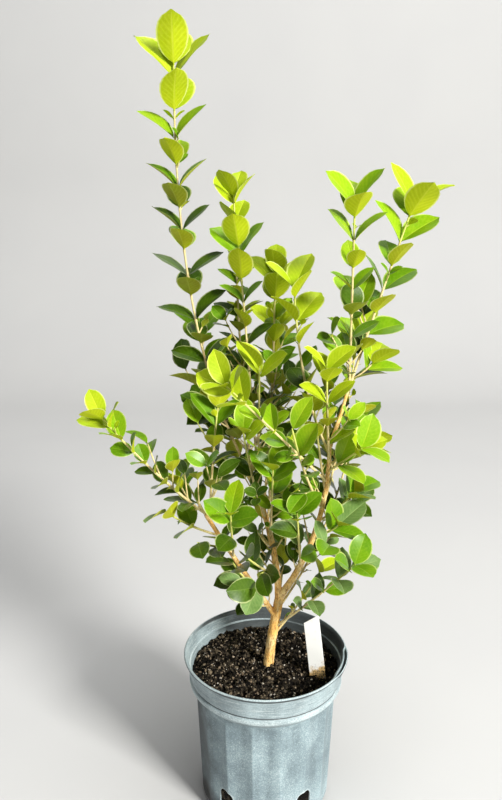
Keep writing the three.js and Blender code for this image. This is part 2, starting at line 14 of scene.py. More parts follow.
import bpy
import numpy as np
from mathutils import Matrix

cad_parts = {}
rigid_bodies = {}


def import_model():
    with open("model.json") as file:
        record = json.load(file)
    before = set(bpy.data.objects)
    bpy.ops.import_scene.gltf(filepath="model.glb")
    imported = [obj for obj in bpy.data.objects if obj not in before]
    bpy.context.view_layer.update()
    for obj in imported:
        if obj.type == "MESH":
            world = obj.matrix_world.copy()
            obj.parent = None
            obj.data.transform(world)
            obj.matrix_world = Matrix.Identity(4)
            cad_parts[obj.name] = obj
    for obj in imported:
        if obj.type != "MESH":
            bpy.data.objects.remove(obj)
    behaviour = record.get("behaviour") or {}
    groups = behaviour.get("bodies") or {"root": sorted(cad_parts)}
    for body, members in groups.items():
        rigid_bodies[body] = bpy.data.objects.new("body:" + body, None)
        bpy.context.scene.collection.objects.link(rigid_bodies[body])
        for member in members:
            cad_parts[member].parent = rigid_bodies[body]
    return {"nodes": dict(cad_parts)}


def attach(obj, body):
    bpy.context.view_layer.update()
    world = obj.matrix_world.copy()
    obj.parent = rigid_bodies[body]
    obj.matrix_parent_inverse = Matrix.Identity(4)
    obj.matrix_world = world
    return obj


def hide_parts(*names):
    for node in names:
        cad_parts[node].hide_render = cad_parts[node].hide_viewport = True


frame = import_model()

Array = np.ndarray
Colour = tuple[float, float, float]
Place = tuple[float, float, float]
Span = tuple[float, float]

MM = 0.001
BODY = "root"
UP = np.array([0.0, 0.0, 1.0])
BACKWARD = np.array([0.0, 1.0, 0.0])
WORD = 0xFFFFFFFF
LOG = logging.getLogger("star_cherry")


# Numbers, noise and curves


def lerp(low: Array | float, high: Array | float, share: Array | float) -> Array | float:
    """The value a share of the way from low to high."""
    return low + (high - low) * share


def smooth(value: Array | float, low: float, high: float) -> Array:
    """A soft step from 0 at low to 1 at high."""
    share = np.clip((np.asarray(value, float) - low) / (high - low), 0.0, 1.0)
    return share * share * (3.0 - 2.0 * share)


def bell(value: Array, width: float) -> Array:
    """A bell of height one about nought: exp(-(value / width)^2)."""
    return np.exp(-((value / width) ** 2))


def unit(vectors: Array) -> Array:
    """The vectors, along the last axis, at length one."""
    return vectors / np.linalg.norm(vectors, axis=-1, keepdims=True)


def turned(vector: Array, axis: Array, angle: float) -> Array:
    """A vector, or each row of vectors, turned about a unit axis by the right-hand rule."""
    along = np.multiply.outer(vector @ axis, axis)
    return along + (vector - along) * math.cos(angle) + np.cross(axis, vector) * math.sin(angle)


def full_turn(count: int) -> Array:
    """Angles once round, without the last."""
    return np.linspace(0.0, 2 * np.pi, count, endpoint=False)


def round_points(radius: Array, angle: Array, height: Array) -> Array:
    """Points (r cos a, r sin a, z) about the Z axis, from arrays that broadcast together."""
    flat = radius * np.cos(angle), radius * np.sin(angle)
    return np.stack(np.broadcast_arrays(*flat, height), axis=-1)


def distance_along(chain: Array) -> Array:
    """The distance of each point of a chain from its first, along the chain."""
    steps = np.linalg.norm(np.diff(chain, axis=0), axis=1)
    return np.concatenate([[0.0], np.cumsum(steps)])


class Seeded:
    """A stream of numbers from 0 to 1 in which each seed always gives the same plant."""

    STEP = 0x6D2B79F5

    def __init__(self, seed: int) -> None:
        """Starts the stream at a seed."""
        self.state = seed & WORD

    def __call__(self) -> float:
        """The next number: the state steps on, and its bits are stirred by two products.

        Returns:
            A number from 0 to 1.
        """
        self.state = (self.state + self.STEP) & WORD
        mixed = ((self.state ^ (self.state >> 15)) * (self.state | 1)) & WORD
        mixed ^= (mixed + (((mixed ^ (mixed >> 7)) * (mixed | 61)) & WORD)) & WORD
        return (mixed ^ (mixed >> 14)) / 2**32

    def wobble(self, size: float) -> float:
        """A number within size of nought, either way."""
        return (2.0 * self() - 1.0) * size


LATTICE = np.array([374761393, 668265263, 2147483647])
LATTICE_SEED = 974634777
LATTICE_STIR = 1274126177


def grain(points: Array, seed: int = 0) -> Array:
    """Smooth noise from -1 to 1 at each point.

    Each corner of a unit lattice has a number stirred from its place, and the eight corners round
    a point are blended by soft steps along each axis.

    Args:
        points: Places, an array of any shape with three numbers last.
        seed: Picks another noise.

    Returns:
        One number for each point.
    """
    cell = np.floor(points).astype(np.int64)
    share = points - cell
    share = share * share * (3.0 - 2.0 * share)
    total = np.zeros(points.shape[:-1])
    for corner in np.ndindex(2, 2, 2):
        key = ((cell + np.array(corner)) @ LATTICE + seed * LATTICE_SEED) & WORD
        key = ((key ^ (key >> 13)) * LATTICE_STIR) & WORD
        weight = np.prod(np.where(np.array(corner), share, 1.0 - share), axis=-1)
        total += weight * ((key ^ (key >> 16)) & 0xFFFF) / 32767.5
    return total - 1.0


@dataclass
class Bend:
    """A quadratic curve from a start by a bend to a tip, measured along its own length."""

    start: Array
    middle: Array  # the bend's control point
    tip: Array
    SAMPLES = 200

    def __post_init__(self) -> None:
        """Measures the curve as a chain of short chords."""
        self.steps = np.linspace(0.0, 1.0, self.SAMPLES + 1)
        self.reach = distance_along(self.spot(self.steps))

    @classmethod
    def between(cls, start: Array, tip: Array, bend: Span) -> "Bend":
        """A curve whose bend lies at a share of the way out and a share of the climb."""
        out, climb = bend
        return cls(start, start + (tip - start) * np.array([out, out, climb]), tip)

    @property
    def length(self) -> float:
        """The curve's length."""
        return float(self.reach[-1])

    def spot(self, t: Array) -> Array:
        """Points at the curve's own parameter: (1-t)^2 start + 2t(1-t) middle + t^2 tip."""
        t = np.asarray(t, float)[..., None]
        return (1 - t) ** 2 * self.start + 2 * t * (1 - t) * self.middle + t**2 * self.tip

    def at(self, share: Array | float) -> Array:
        """Points at shares of the length."""
        return self.spot(np.interp(np.asarray(share) * self.length, self.reach, self.steps))

    def heading(self, share: Array | float) -> Array:
        """Unit tangents at shares of the length: 2(1-t)(middle-start) + 2t(tip-middle)."""
        t = np.interp(np.asarray(share) * self.length, self.reach, self.steps)[..., None]
        return unit((1 - t) * (self.middle - self.start) + t * (self.tip - self.middle))

    def dots(self, count: int) -> Array:
        """Points spread evenly along the curve, with both ends."""
        return self.at(np.linspace(0.0, 1.0, count))


# Meshes from arrays


@dataclass
class Patch:
    """Part of a mesh: points in millimetres, four-cornered faces, and values on the points."""

    points: Array
    quads: Array  # corner numbers of each face, anticlockwise from outside
    uv: Array  # two surface coordinates for each corner
    relief: Array | None = None  # height of the fine relief at each corner, from -1 to 1

    def __post_init__(self) -> None:
        """Lays the arrays out with one row for each corner or face."""
        self.points = self.points.reshape(-1, 3)
        self.quads = self.quads.reshape(-1, 4)
        self.uv = self.uv.reshape(-1, 2)
        self.relief = None if self.relief is None else self.relief.ravel()


def grid_quads(rows: int, columns: int, ring: bool = False) -> Array:
    """Faces of a grid of points that is numbered row by row.

    Args:
        rows: Number of rows of points.
        columns: Number of points in a row.
        ring: Whether each row closes on itself.

    Returns:
        Corner numbers, one face per row.
    """
    row = np.arange(rows - 1)[:, None] * columns
    column = np.arange(columns if ring else columns - 1)[None, :]
    after = (column + 1) % columns
    corners = [row + column, row + after, row + columns + after, row + columns + column]
    return np.stack([corner.ravel() for corner in corners], axis=-1)


def joined(patches: Sequence[Patch]) -> Patch:
    """All patches as one, the corner numbers shifted to follow on.

    Args:
        patches: The patches.

    Returns:
        The whole.
    """
    shifts = np.cumsum([0] + [len(patch.points) for patch in patches])
    relief = [np.zeros(len(patch.points)) if patch.relief is None else patch.relief
              for patch in patches]
    return Patch(
        np.concatenate([patch.points for patch in patches]),
        np.concatenate([patch.quads + shift for patch, shift in zip(patches, shifts)]),
        np.concatenate([patch.uv for patch in patches]),
        np.concatenate(relief),
    )


def piece(name: str, patch: Patch, material: bpy.types.Material,
          smooth_shaded: bool = True) -> bpy.types.Object:
    """Makes a Blender object of a patch, with its UV map and its relief as an attribute.

    Args:
        name: The object's name.
        patch: Its shape.
        material: Its finish.
        smooth_shaded: Whether faces blend into each other.

    Returns:
        The object, riding on the plant's body.
    """
    mesh = bpy.data.meshes.new(name)
    count = len(patch.quads)
    mesh.vertices.add(len(patch.points))
    mesh.vertices.foreach_set("co", (patch.points * MM).astype(np.float32).ravel())
    mesh.loops.add(count * 4)
    mesh.loops.foreach_set("vertex_index", patch.quads.astype(np.int32).ravel())
    mesh.polygons.add(count)
    mesh.polygons.foreach_set("loop_start", np.arange(0, count * 4, 4, dtype=np.int32))
    mesh.polygons.foreach_set("use_smooth", np.full(count, smooth_shaded))
    layer = mesh.uv_layers.new(name="UVMap")
    layer.data.foreach_set("uv", patch.uv[patch.quads.ravel()].astype(np.float32).ravel())
    if patch.relief is not None:
        attribute = mesh.attributes.new("relief", "FLOAT", "POINT")
        attribute.data.foreach_set("value", patch.relief.astype(np.float32))
    mesh.update(calc_edges=True)
    mesh.validate()
    mesh.materials.append(material)
    made = bpy.data.objects.new(name, mesh)
    bpy.context.collection.objects.link(made)
    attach(made, BODY)
    LOG.info("%s: %d faces", name, count)
    return made


def creased(made: bpy.types.Object, columns: int) -> None:
    """Keeps a sharp crease along the middle of each row of points.

    Args:
        made: An object whose points are numbered row by row.
        columns: Number of points in a row.
    """
    ends = np.empty(len(made.data.edges) * 2, dtype=np.int32)
    made.data.edges.foreach_get("vertices", ends)
    middle = (ends.reshape(-1, 2) % columns == columns // 2).all(axis=1)
    made.data.attributes.new("sharp_edge", "BOOLEAN", "EDGE").data.foreach_set("value", middle)


def swept(path: Array, radius: Array, sides: int) -> Patch:
    """A round section carried along a path.

    Each ring stands square to the path: centre + radius (side cos a + other sin a), where side is
    the heading crossed with the backward axis and other is side crossed with the heading.

    Args:
        path: Centres of the rings, from the foot up.
        radius: Radius of each ring, or of each point of each ring.
        sides: Points round a ring.

    Returns:
        The tube, open at both ends, with U round it and V the distance along it in millimetres.
    """
    heading = unit(np.gradient(path, axis=0))
    side = unit(np.cross(heading, BACKWARD))
    other = np.cross(side, heading)
    angle = full_turn(sides)
    ring = side[:, None] * np.cos(angle)[:, None] + other[:, None] * np.sin(angle)[:, None]
    points = path[:, None] + ring * radius.reshape(len(path), -1, 1)
    uv = np.broadcast_arrays(angle / (2 * np.pi), distance_along(path)[:, None])
    quads = grid_quads(len(path), sides, ring=True)[:, ::-1]
    return Patch(points, quads, np.stack(uv, axis=-1))


def revolved(profile: Array, angle: Array, shift: Array | float = 0.0) -> Patch:
    """A profile of (radius, height) points carried round the Z axis.

    A point is (r cos a, r sin a, z), with r the profile's radius plus its shift at that angle.

    Args:
        profile: The section, walked so that its left side is outside.
        angle: Angles of the copies, once round without the last.
        shift: What is added to the radius at each profile point and angle.

    Returns:
        The surface, with U the share of the turn and V the share of the profile.
    """
    points = round_points(profile[:, :1] + shift, angle, profile[:, 1:])
    uv = np.broadcast_arrays(angle / (2 * np.pi), np.linspace(0, 1, len(profile))[:, None])
    quads = grid_quads(len(profile), len(angle), ring=True)
    return Patch(points, quads, np.stack(uv, axis=-1))


# Shader graphs


class Socket:
    """An output of a node, on which arithmetic adds Math nodes."""

    def __init__(self, graph: "Graph", output: bpy.types.NodeSocket) -> None:
        """Wraps an output of a graph's node."""
        self.graph = graph
        self.output = output

    def __add__(self, other: "Socket | float") -> "Socket":
        """This plus other."""
        return self.graph.calc("ADD", self, other)

    __radd__ = __add__

    def __mul__(self, other: "Socket | float") -> "Socket":
        """This times other."""
        return self.graph.calc("MULTIPLY", self, other)

    __rmul__ = __mul__

    def __sub__(self, other: "Socket | float") -> "Socket":
        """This less other."""
        return self.graph.calc("SUBTRACT", self, other)

    def __rsub__(self, other: float) -> "Socket":
        """Other less this."""
        return self.graph.calc("SUBTRACT", other, self)

    def __abs__(self) -> "Socket":
        """This without its sign."""
        return self.graph.calc("ABSOLUTE", self)

    def step(self, low: float, high: float) -> "Socket":
        """A soft step from 0 at low to 1 at high; high may be the lower.

        Args:
            low: Value that gives 0.
            high: Value that gives 1.

        Returns:
            The step.
        """
        settings = {"interpolation_type": "SMOOTHSTEP", "clamp": True}
        limits = (low, high, 0.0, 1.0) if low <= high else (high, low, 1.0, 0.0)
        return self.graph.add("ShaderNodeMapRange", settings, dict(enumerate((self, *limits))))


Paint = Socket | Colour


class Graph:
    """The node tree of one material, with the few nodes that its finishes use."""

    def __init__(self, name: str) -> None:
        """Starts an empty material.

        Args:
            name: The material's name.
        """
        self.material = bpy.data.materials.new(name)
        self.material.use_nodes = True
        self.tree = self.material.node_tree
        self.tree.nodes.clear()

    def add(self, kind: str, settings: dict | None = None, values: dict | None = None,
            out: int | str = 0) -> Socket:
        """Adds a node.

        Args:
            kind: The node's type.
            settings: Its own properties, set first.
            values: Numbers, colours or links for its inputs, by number or name.
            out: The output that is wanted.

        Returns:
            That output.
        """
        node = self.tree.nodes.new(kind)
        for key, value in (settings or {}).items():
            setattr(node, key, value)
        for key, value in (values or {}).items():
            target = node.inputs[key]
            if isinstance(value, Socket):
                self.tree.links.new(value.output, target)
            elif isinstance(value, tuple) and target.type == "RGBA":
                target.default_value = (*value, 1.0)
            else:
                target.default_value = value
        return Socket(self, node.outputs[out])

    def calc(self, operation: str, *values: Socket | float) -> Socket:
        """A Math node's result on these values."""
        return self.add("ShaderNodeMath", {"operation": operation}, dict(enumerate(values)))

    def place(self) -> Socket:
        """The point's place in metres."""
        return self.add("ShaderNodeTexCoord", out="Object")

    def axis(self, name: str) -> Socket:
        """One coordinate of the point's place in metres."""
        return self.add("ShaderNodeSeparateXYZ", values={0: self.place()}, out=name)

    def surface(self, name: str) -> Socket:
        """One coordinate of the piece's UV map, called X or Y."""
        uv = self.add("ShaderNodeTexCoord", out="UV")
        return self.add("ShaderNodeSeparateXYZ", values={0: uv}, out=name)

    def relief(self) -> Socket:
        """The relief that the mesh carries."""
        return self.add("ShaderNodeAttribute", {"attribute_name": "relief"}, out="Fac")

    def noise(self, scale: float, detail: float = 3.0, rough: float = 0.55,
              place: Socket | None = None) -> Socket:
        """Cloudy noise about one half.

        Args:
            scale: Lumps in a metre of the place's units.
            detail: Octaves of finer lumps.
            rough: Strength of each octave against the one before.
            place: Coordinates, if not the point's own place.

        Returns:
            The noise's value.
        """
        spot = place or self.place()
        values = {"Vector": spot, "Scale": scale, "Detail": detail, "Roughness": rough}
        return self.add("ShaderNodeTexNoise", values=values)

    def streaks(self, scale: Colour, detail: float, rough: float) -> Socket:
        """Cloudy noise with a scale of its own along each axis."""
        place = self.add("ShaderNodeMapping", values={"Vector": self.place(), "Scale": scale})
        return self.noise(1.0, detail, rough, place)

    def mix(self, share: Socket | float, low: Paint, high: Paint) -> Socket:
        """A colour a share of the way from low to high."""
        settings = {"data_type": "RGBA", "clamp_factor": True}
        return self.add("ShaderNodeMix", settings, {0: share, 6: low, 7: high}, out=2)

    def layers(self, base: Paint, *coats: tuple[Socket | float, Paint]) -> Paint:
        """A base colour with coats laid over it in turn.

        Args:
            base: The lowest colour.
            coats: For each coat its share, from 0 to 1, and its colour.

        Returns:
            The colour that shows.
        """
        for share, colour in coats:
            base = self.mix(share, base, colour)
        return base

    def bump(self, height: Socket, strength: float, distance: float) -> Socket:
        """A normal tilted by a height from 0 to 1, which stands for a distance in millimetres."""
        values = {"Height": height, "Strength": strength, "Distance": distance * MM}
        return self.add("ShaderNodeBump", values=values, out="Normal")

    def finish(self, values: dict) -> bpy.types.Material:
        """Ends the tree in a Principled shader with these inputs.

        Args:
            values: Numbers, colours or links by the shader's own names.

        Returns:
            The material.
        """
        shader = self.add("ShaderNodeBsdfPrincipled", values=values)
        node = self.tree.nodes.new("ShaderNodeOutputMaterial")
        self.tree.links.new(shader.output, node.inputs["Surface"])
        return self.material


# Finishes


@dataclass(frozen=True)
class LeafFinish:
    """One side of a leaf: a waxy blade with a midrib, side veins and a pale margin."""

    name: str
    blade: Colour
    drift: Colour  # colour that the blade drifts to from leaf to leaf
    vein: Colour
    margin: Colour
    roughness: float = 0.55
    coat: float = 0.0  # weight of the wax
    veins: float = 0.4  # how strongly the side veins and the quilting between them show
    VEIN_PAIRS = 8.5
    VEIN_SLANT = 2.6
    VEIN_STRAY = 1.4
    QUILT_SHADE = 0.72

    def material(self) -> bpy.types.Material:
        """Builds the material: the UV map's X runs across the blade and its Y from root to tip.

        Side veins are lines of equal height along the blade, slanting to the margin and bent by
        a cloud; between them the blade is painted a little darker, as painted shade of a quilted
        blade.

        Returns:
            The material.
        """
        graph = Graph(self.name)
        along = graph.surface("Y")
        across = abs(graph.surface("X") * 2.0 - 1.0)
        cloud = graph.noise(38.0, 2.0)
        fleck = graph.noise(420.0, 2.0)
        order = along * self.VEIN_PAIRS - across * self.VEIN_SLANT + cloud * self.VEIN_STRAY
        from_vein = abs(graph.calc("FRACT", order) - 0.5)
        side_vein = from_vein.step(0.10, 0.0) * across.step(0.98, 0.6)
        quilt = from_vein.step(0.12, 0.5) * across.step(0.06, 0.3)
        midrib = across.step(0.075, 0.02)
        colour = graph.layers(
            self.blade,
            (cloud.step(0.36, 0.66), self.drift),
            (quilt * self.veins, tuple(self.QUILT_SHADE * part for part in self.blade)),
            (fleck.step(0.35, 0.75) * 0.25, self.vein),
            (side_vein * self.veins, self.vein),
            (midrib * 0.55, self.vein),
            (across.step(0.86, 0.95) * 0.58, self.margin),
        )
        height = midrib * -0.6 - side_vein * 0.2 + fleck * 0.25 + cloud * 1.2
        return graph.finish({
            "Base Color": colour,
            "Roughness": self.roughness + fleck * 0.16 - 0.08,
            "Specular IOR Level": 0.11,
            "Coat Weight": self.coat,
            "Coat Roughness": 0.25,
            "Normal": graph.bump(height, 0.6, 0.4),
        })


@dataclass(frozen=True)
class BarkFinish:
    """Thin flaking bark: warm wood colour, dark in the cracks and pale on lifted flakes."""

    name: str
    crack: Colour  # colour in the cracks, streaks and speckles
    skin: Colour
    flake: Colour

    def material(self) -> bpy.types.Material:
        """Builds the material from the mesh's relief and noise drawn out along the limb.

        Returns:
            The material.
        """
        graph = Graph(self.name)
        relief = graph.relief()
        patch = graph.noise(70.0, 3.0)
        streak = graph.streaks((520.0, 520.0, 150.0), 4.0, 0.6)
        speckle = graph.streaks((900.0, 900.0, 420.0), 2.0, 0.5)
        colour = graph.layers(
            self.skin,
            (patch.step(0.38, 0.66), self.flake),
            (streak.step(0.51, 0.33) * 0.66, self.crack),
            (speckle.step(0.54, 0.64) * 0.55, self.crack),
            (relief.step(-0.15, -0.95) * 0.8, self.crack),
            (relief.step(0.25, 0.8) * 0.7, self.flake),
        )
        return graph.finish({
            "Base Color": colour,
            "Roughness": 0.72 + streak * 0.2,
            "Normal": graph.bump(streak, 0.7, 0.5),
        })


@dataclass(frozen=True)
class TwigFinish:
    """Young stems: green at the tip, tan and streaky below."""

    name: str
    green: Colour
    tan: Colour
    brown: Colour  # colour of its streaks and of its oldest part
    # Distances from the tip, in millimetres, between which green turns to tan.
    young: Span = (8.0, 60.0)
    woody: Span = (180.0, 330.0)  # distances between which it turns browner

    def material(self) -> bpy.types.Material:
        """Builds the material; the UV map's Y is the distance from the tip in millimetres.

        Returns:
            The material.
        """
        graph = Graph(self.name)
        from_tip = graph.surface("Y")
        streak = graph.streaks((900.0, 900.0, 160.0), 3.0, 0.6)
        stray = streak - 0.5
        wood = graph.layers(
            self.tan,
            (streak.step(0.42, 0.72), self.brown),
            ((from_tip + stray * 80.0).step(*self.woody) * 0.55, self.brown),
        )
        old = (from_tip + stray * 60.0).step(*self.young)
        return graph.finish({
            "Base Color": graph.mix(old, self.green, wood),
            "Roughness": 0.55 + streak * 0.2,
            "Normal": graph.bump(streak, 0.5, 0.25),
        })


@dataclass(frozen=True)
class PotFinish:
    """Weathered plastic under a chalky bloom, scuffed on its ridges and darker in its grooves.

    Its colour also carries painted shadow under its lip and bead, painted shade on its left side
    and on its lining's shady side, and painted light on its lining's other side.
    """

    name: str
    plastic: Colour
    bloom: Colour
    scuff_and_painted_light: Colour
    # colour of grime at the foot and in the grooves, also laid on as painted shade
    grime_and_shade: Colour
    # Heights, in metres, between which the scratched band of the rim begins.
    band: Span = (0.126, 0.130)
    splash: Span = (0.03, 0.0)  # heights, in metres, between which splashed soil ends and is full
    # Places to the left, in metres, between which the outer wall is painted darker, as painted
    # shade on its shady side.
    shaded_left: Span = (-0.044, -0.068)

    def material(self) -> bpy.types.Material:
        """Builds the material from cloudy film, grains, scratches round the rim and relief.

        Returns:
            The material.
        """
        graph = Graph(self.name)
        height, relief = graph.axis("Z"), graph.relief()
        cloud = graph.noise(22.0, 4.0, 0.6)
        speck = graph.noise(820.0, 3.0, 0.7)
        fine = graph.noise(1800.0, 2.0)
        run = graph.streaks((110.0, 110.0, 9.0), 3.0, 0.6)
        scratch = graph.streaks((60.0, 60.0, 900.0), 3.0, 0.7)
        stray = cloud - 0.5
        band = height.step(*self.band)
        film = (cloud * 0.6 + run * 0.3 + speck * 0.3 + relief * 0.08).step(0.40, 0.82)
        # scuffs on ridges and worn edges, and painted light on the lit side of the lining, all from
        # high relief
        rubbed_and_lit = (relief * 0.6 + (speck - 0.5) * 1.6 + stray).step(0.30, 0.85)
        splash = (height + stray * 0.05).step(*self.splash)
        # painted shade: the left of the outer wall is painted darker, less so on the rim band
        stain = (graph.axis("X") + stray * 0.03).step(*self.shaded_left) * (0.8 - band * 0.65)
        colour = graph.layers(
            self.plastic,
            (film, self.bloom),
            ((speck * 0.8 + cloud * 0.3).step(0.54, 0.76) * 0.55, self.scuff_and_painted_light),
            ((speck * 0.7 + fine * 0.3).step(0.44, 0.32) * 0.6, self.plastic),
            (scratch.step(0.56, 0.68) * band * 0.7, self.scuff_and_painted_light),
            (band * 0.22, self.scuff_and_painted_light),
            (scratch.step(0.46, 0.34) * band * 0.5, self.plastic),
            (rubbed_and_lit * 0.8, self.scuff_and_painted_light),
            # darker where the relief is low: in the grooves, painted shadow under the lip and bead,
            # and painted shade on the lining's shady side
            ((relief + stray * 0.5).step(-0.45, -0.95) * 0.85, self.grime_and_shade),
            # splashed soil near the foot, together with the painted shade on the left
            (splash * 0.4 + stain, self.grime_and_shade),
        )
        return graph.finish({
            "Base Color": colour,
            "Roughness": 0.5 + film * 0.25 + fine * 0.1 - 0.05,
            "Normal": graph.bump(speck * 0.6 + fine * 0.4, 0.4, 0.35),
        })


@dataclass(frozen=True)
class SoilFinish:
    """Damp crumbs of potting mix, or one kind of grit in it."""

    name: str
    dark: Colour
    light: Colour
    fleck: Colour
    flecks: float  # how many specks there are, from 0 to 1
    # Places to the right, in metres, between which the soil is painted darker, as painted shade
    # from the pot's wall.
    shaded_right: Span = (-0.005, 0.05)

    def material(self) -> bpy.types.Material:
        """Builds the material from crumbs, lumps, specks and the tone in each bit's UV map.

        Returns:
            The material.
        """
        graph = Graph(self.name)
        crumb = graph.noise(330.0, 5.0, 0.65)
        lump = graph.noise(90.0, 3.0)
        speck = graph.noise(700.0, 1.0)
        own = graph.surface("X") - 0.5
        colour = graph.layers(
            self.dark,
            # partly the mix's own tone and partly painted shade and painted light: the same crumbs
            # drive the bump, so its hollows stay dark and its tops take the paler colour
            ((crumb * 0.7 + lump * 0.4 + own * 0.3).step(0.51, 0.73), self.light),
            (speck.step(0.70, 0.78) * self.flecks, self.fleck),
            # painted shade: darker towards the right, where the pot's wall shades the soil
            (graph.axis("X").step(*self.shaded_right) * 0.7, self.dark),
        )
        return graph.finish({
            "Base Color": colour,
            "Specular IOR Level": 0.12,
            "Roughness": 0.82 + crumb * 0.15,
            "Normal": graph.bump(crumb, 0.9, 1.2),
        })


@dataclass(frozen=True)
class LabelFinish:
    """Plain white plastic, with a tan stain where it stands in the soil."""

    name: str
    white: Colour
    stain: Colour
    soil: Colour
    foot: Span  # where the plate meets the soil, across and up, in metres
    slope: float = 0.8  # how much higher the stain stands on the right

    def material(self) -> bpy.types.Material:
        """Builds the material from the height above the soil, smudges and stuck crumbs.

        Returns:
            The material.
        """
        graph = Graph(self.name)
        across, ground = self.foot
        above = graph.axis("Z") - ground - (graph.axis("X") - across) * self.slope
        smudge = graph.noise(160.0, 3.0)
        crumb = graph.noise(620.0, 2.0)
        stray = smudge - 0.5
        stuck = (above + stray * 0.02).step(0.019, 0.001) * crumb.step(0.53, 0.59)
        colour = graph.layers(
            self.white,
            (smudge.step(0.55, 0.75) * 0.12, self.stain),
            ((above + stray * 0.024).step(0.015, 0.007), self.stain),
            (stuck, self.soil),
        )
        return graph.finish({
            "Base Color": colour,
            "Roughness": 0.42 + smudge * 0.2,
            "Normal": graph.bump(smudge, 0.15, 0.2),
        })


@dataclass(frozen=True)
class FloorFinish:
    """Pale matt studio floor."""

    name: str
    pale: Colour
    shade: Colour

    def material(self) -> bpy.types.Material:
        """Builds the material from two close tones and a little roughness.

        Returns:
            The material.
        """
        graph = Graph(self.name)
        cloud = graph.noise(3.0, 2.0)
        return graph.finish({
            "Base Color": graph.mix(cloud, self.pale, self.shade),
            "Roughness": 0.85 + cloud * 0.1,
        })


class Tone(Enum):
    """The colours that sprays of leaves are dealt, from the newest to the oldest."""

    LIME = "lime"
    FRESH = "fresh"
    GREEN = "green"
    DEEP = "deep"
    DUSTY = "dusty"


# For each tone: blade, drift, vein, margin and, unless matt, roughness, coat and side veins.
UPPER_FINISH = {tone: LeafFinish(f"{tone.value}_upper", *look) for tone, look in {
    Tone.LIME: ((0.37, 0.48, 0.008), (0.30, 0.43, 0.006), (0.52, 0.59, 0.035), (0.80, 0.85, 0.26),
                0.44, 0.05, 0.24),
    Tone.FRESH: ((0.19, 0.37, 0.005), (0.26, 0.42, 0.006), (0.39, 0.52, 0.025), (0.72, 0.80, 0.24),
                 0.42, 0.14, 0.2),
    Tone.GREEN: ((0.098, 0.235, 0.003), (0.155, 0.31, 0.004), (0.24, 0.38, 0.02),
                 (0.60, 0.67, 0.20), 0.38, 0.28, 0.16),
    Tone.DEEP: ((0.034, 0.082, 0.002), (0.060, 0.125, 0.003), (0.12, 0.20, 0.02),
                (0.54, 0.60, 0.26), 0.34, 0.36, 0.16),
    Tone.DUSTY: ((0.11, 0.20, 0.045), (0.16, 0.27, 0.075), (0.27, 0.37, 0.12), (0.50, 0.56, 0.28),
                 0.42, 0.16, 0.22),
}.items()}
# Undersides: paler than the uppers as the leaves are, and raised further as painted light standing
# for light shining through the blades.
UNDER_FINISH = {tone: LeafFinish(f"{tone.value}_under", *look) for tone, look in {
    Tone.LIME: ((0.51, 0.60, 0.009), (0.44, 0.55, 0.007), (0.65, 0.71, 0.06), (0.86, 0.90, 0.34)),
    Tone.FRESH: ((0.50, 0.58, 0.010), (0.42, 0.52, 0.008), (0.62, 0.67, 0.05), (0.84, 0.88, 0.32)),
    Tone.GREEN: ((0.47, 0.54, 0.012), (0.39, 0.39, 0.014), (0.60, 0.66, 0.06), (0.80, 0.84, 0.32)),
    Tone.DEEP: ((0.28, 0.34, 0.014), (0.25, 0.26, 0.013), (0.42, 0.48, 0.07), (0.66, 0.70, 0.28)),
    Tone.DUSTY: ((0.20, 0.26, 0.04), (0.155, 0.215, 0.03), (0.32, 0.38, 0.09), (0.44, 0.50, 0.16),
                 0.6, 0.0, 0.45),
}.items()}
BARK = BarkFinish("flaky_bark", (0.32, 0.125, 0.028), (0.95, 0.55, 0.145), (0.95, 0.72, 0.33))
TWIGS = TwigFinish("young_stems", (0.56, 0.59, 0.13), (0.76, 0.65, 0.31), (0.52, 0.34, 0.13))
POT_PLASTIC = PotFinish("weathered_plastic", (0.12, 0.165, 0.185), (0.32, 0.42, 0.45),
                        (0.58, 0.66, 0.66), (0.020, 0.022, 0.022))
SOIL = SoilFinish("potting_mix", (0.0016, 0.0012, 0.0008), (0.098, 0.078, 0.052),
                  (0.42, 0.35, 0.24), 1.0)
CHIPS = SoilFinish("bark_chips", (0.004, 0.0030, 0.0020), (0.200, 0.155, 0.102),
                   (0.42, 0.35, 0.24), 0.7)
HUSKS = SoilFinish("tan_husks", (0.18, 0.13, 0.085), (0.52, 0.42, 0.31), (0.74, 0.66, 0.56), 0.4)
PERLITE = SoilFinish("pale_grit", (0.36, 0.32, 0.26), (0.78, 0.74, 0.66), (0.9, 0.88, 0.84), 0.4)
LABEL = LabelFinish("label_plastic", (0.86, 0.86, 0.83), (0.60, 0.40, 0.17), (0.03, 0.02, 0.012),
                    (0.052, 0.145))
FLOOR = FloorFinish("studio_floor", (0.56, 0.56, 0.55), (0.52, 0.52, 0.52))


# The growing plant


@dataclass(frozen=True)
class Limb:
    """A woody limb, grown from a place on its parent to its tip."""

    name: str
    parent: str | None  # name of the limb it grows from; none for the trunk
    at: float  # share of the parent's length at which it starts
    tip: Place
    bend: Span  # share of the way out and of the climb at its bend
    radius: Span  # radius at the foot and the tip
    flare: float = 0.0  # what the root flare adds at the foot
    girth: float = 1.0  # thickness of its wood, of the solid's


@dataclass(frozen=True)
class Shoot:
    """A leafy shoot, one mass of foliage."""

    name: str
    limb: str
    at: float
    tip: Place  # where its top leaf pair stands
    bend: Span
    bare: float  # share of its stem without leaves
    facing: float  # turn of its top leaf pair in degrees
    leaf: float = 1.0
    light: float = 0.0  # how much lighter the tones dealt to its leaves are than their place makes them: partly fresher growth, partly painted light where raised and painted shade where lowered
    plain: float = 30.0  # length of its top that bears no sprigs
    internode: float = 20.0  # stem between its newest pairs, where it differs from the rule

    @property
    def mass(self) -> str:
        """Name of its solid."""
        return f"{self.name}_foliage"


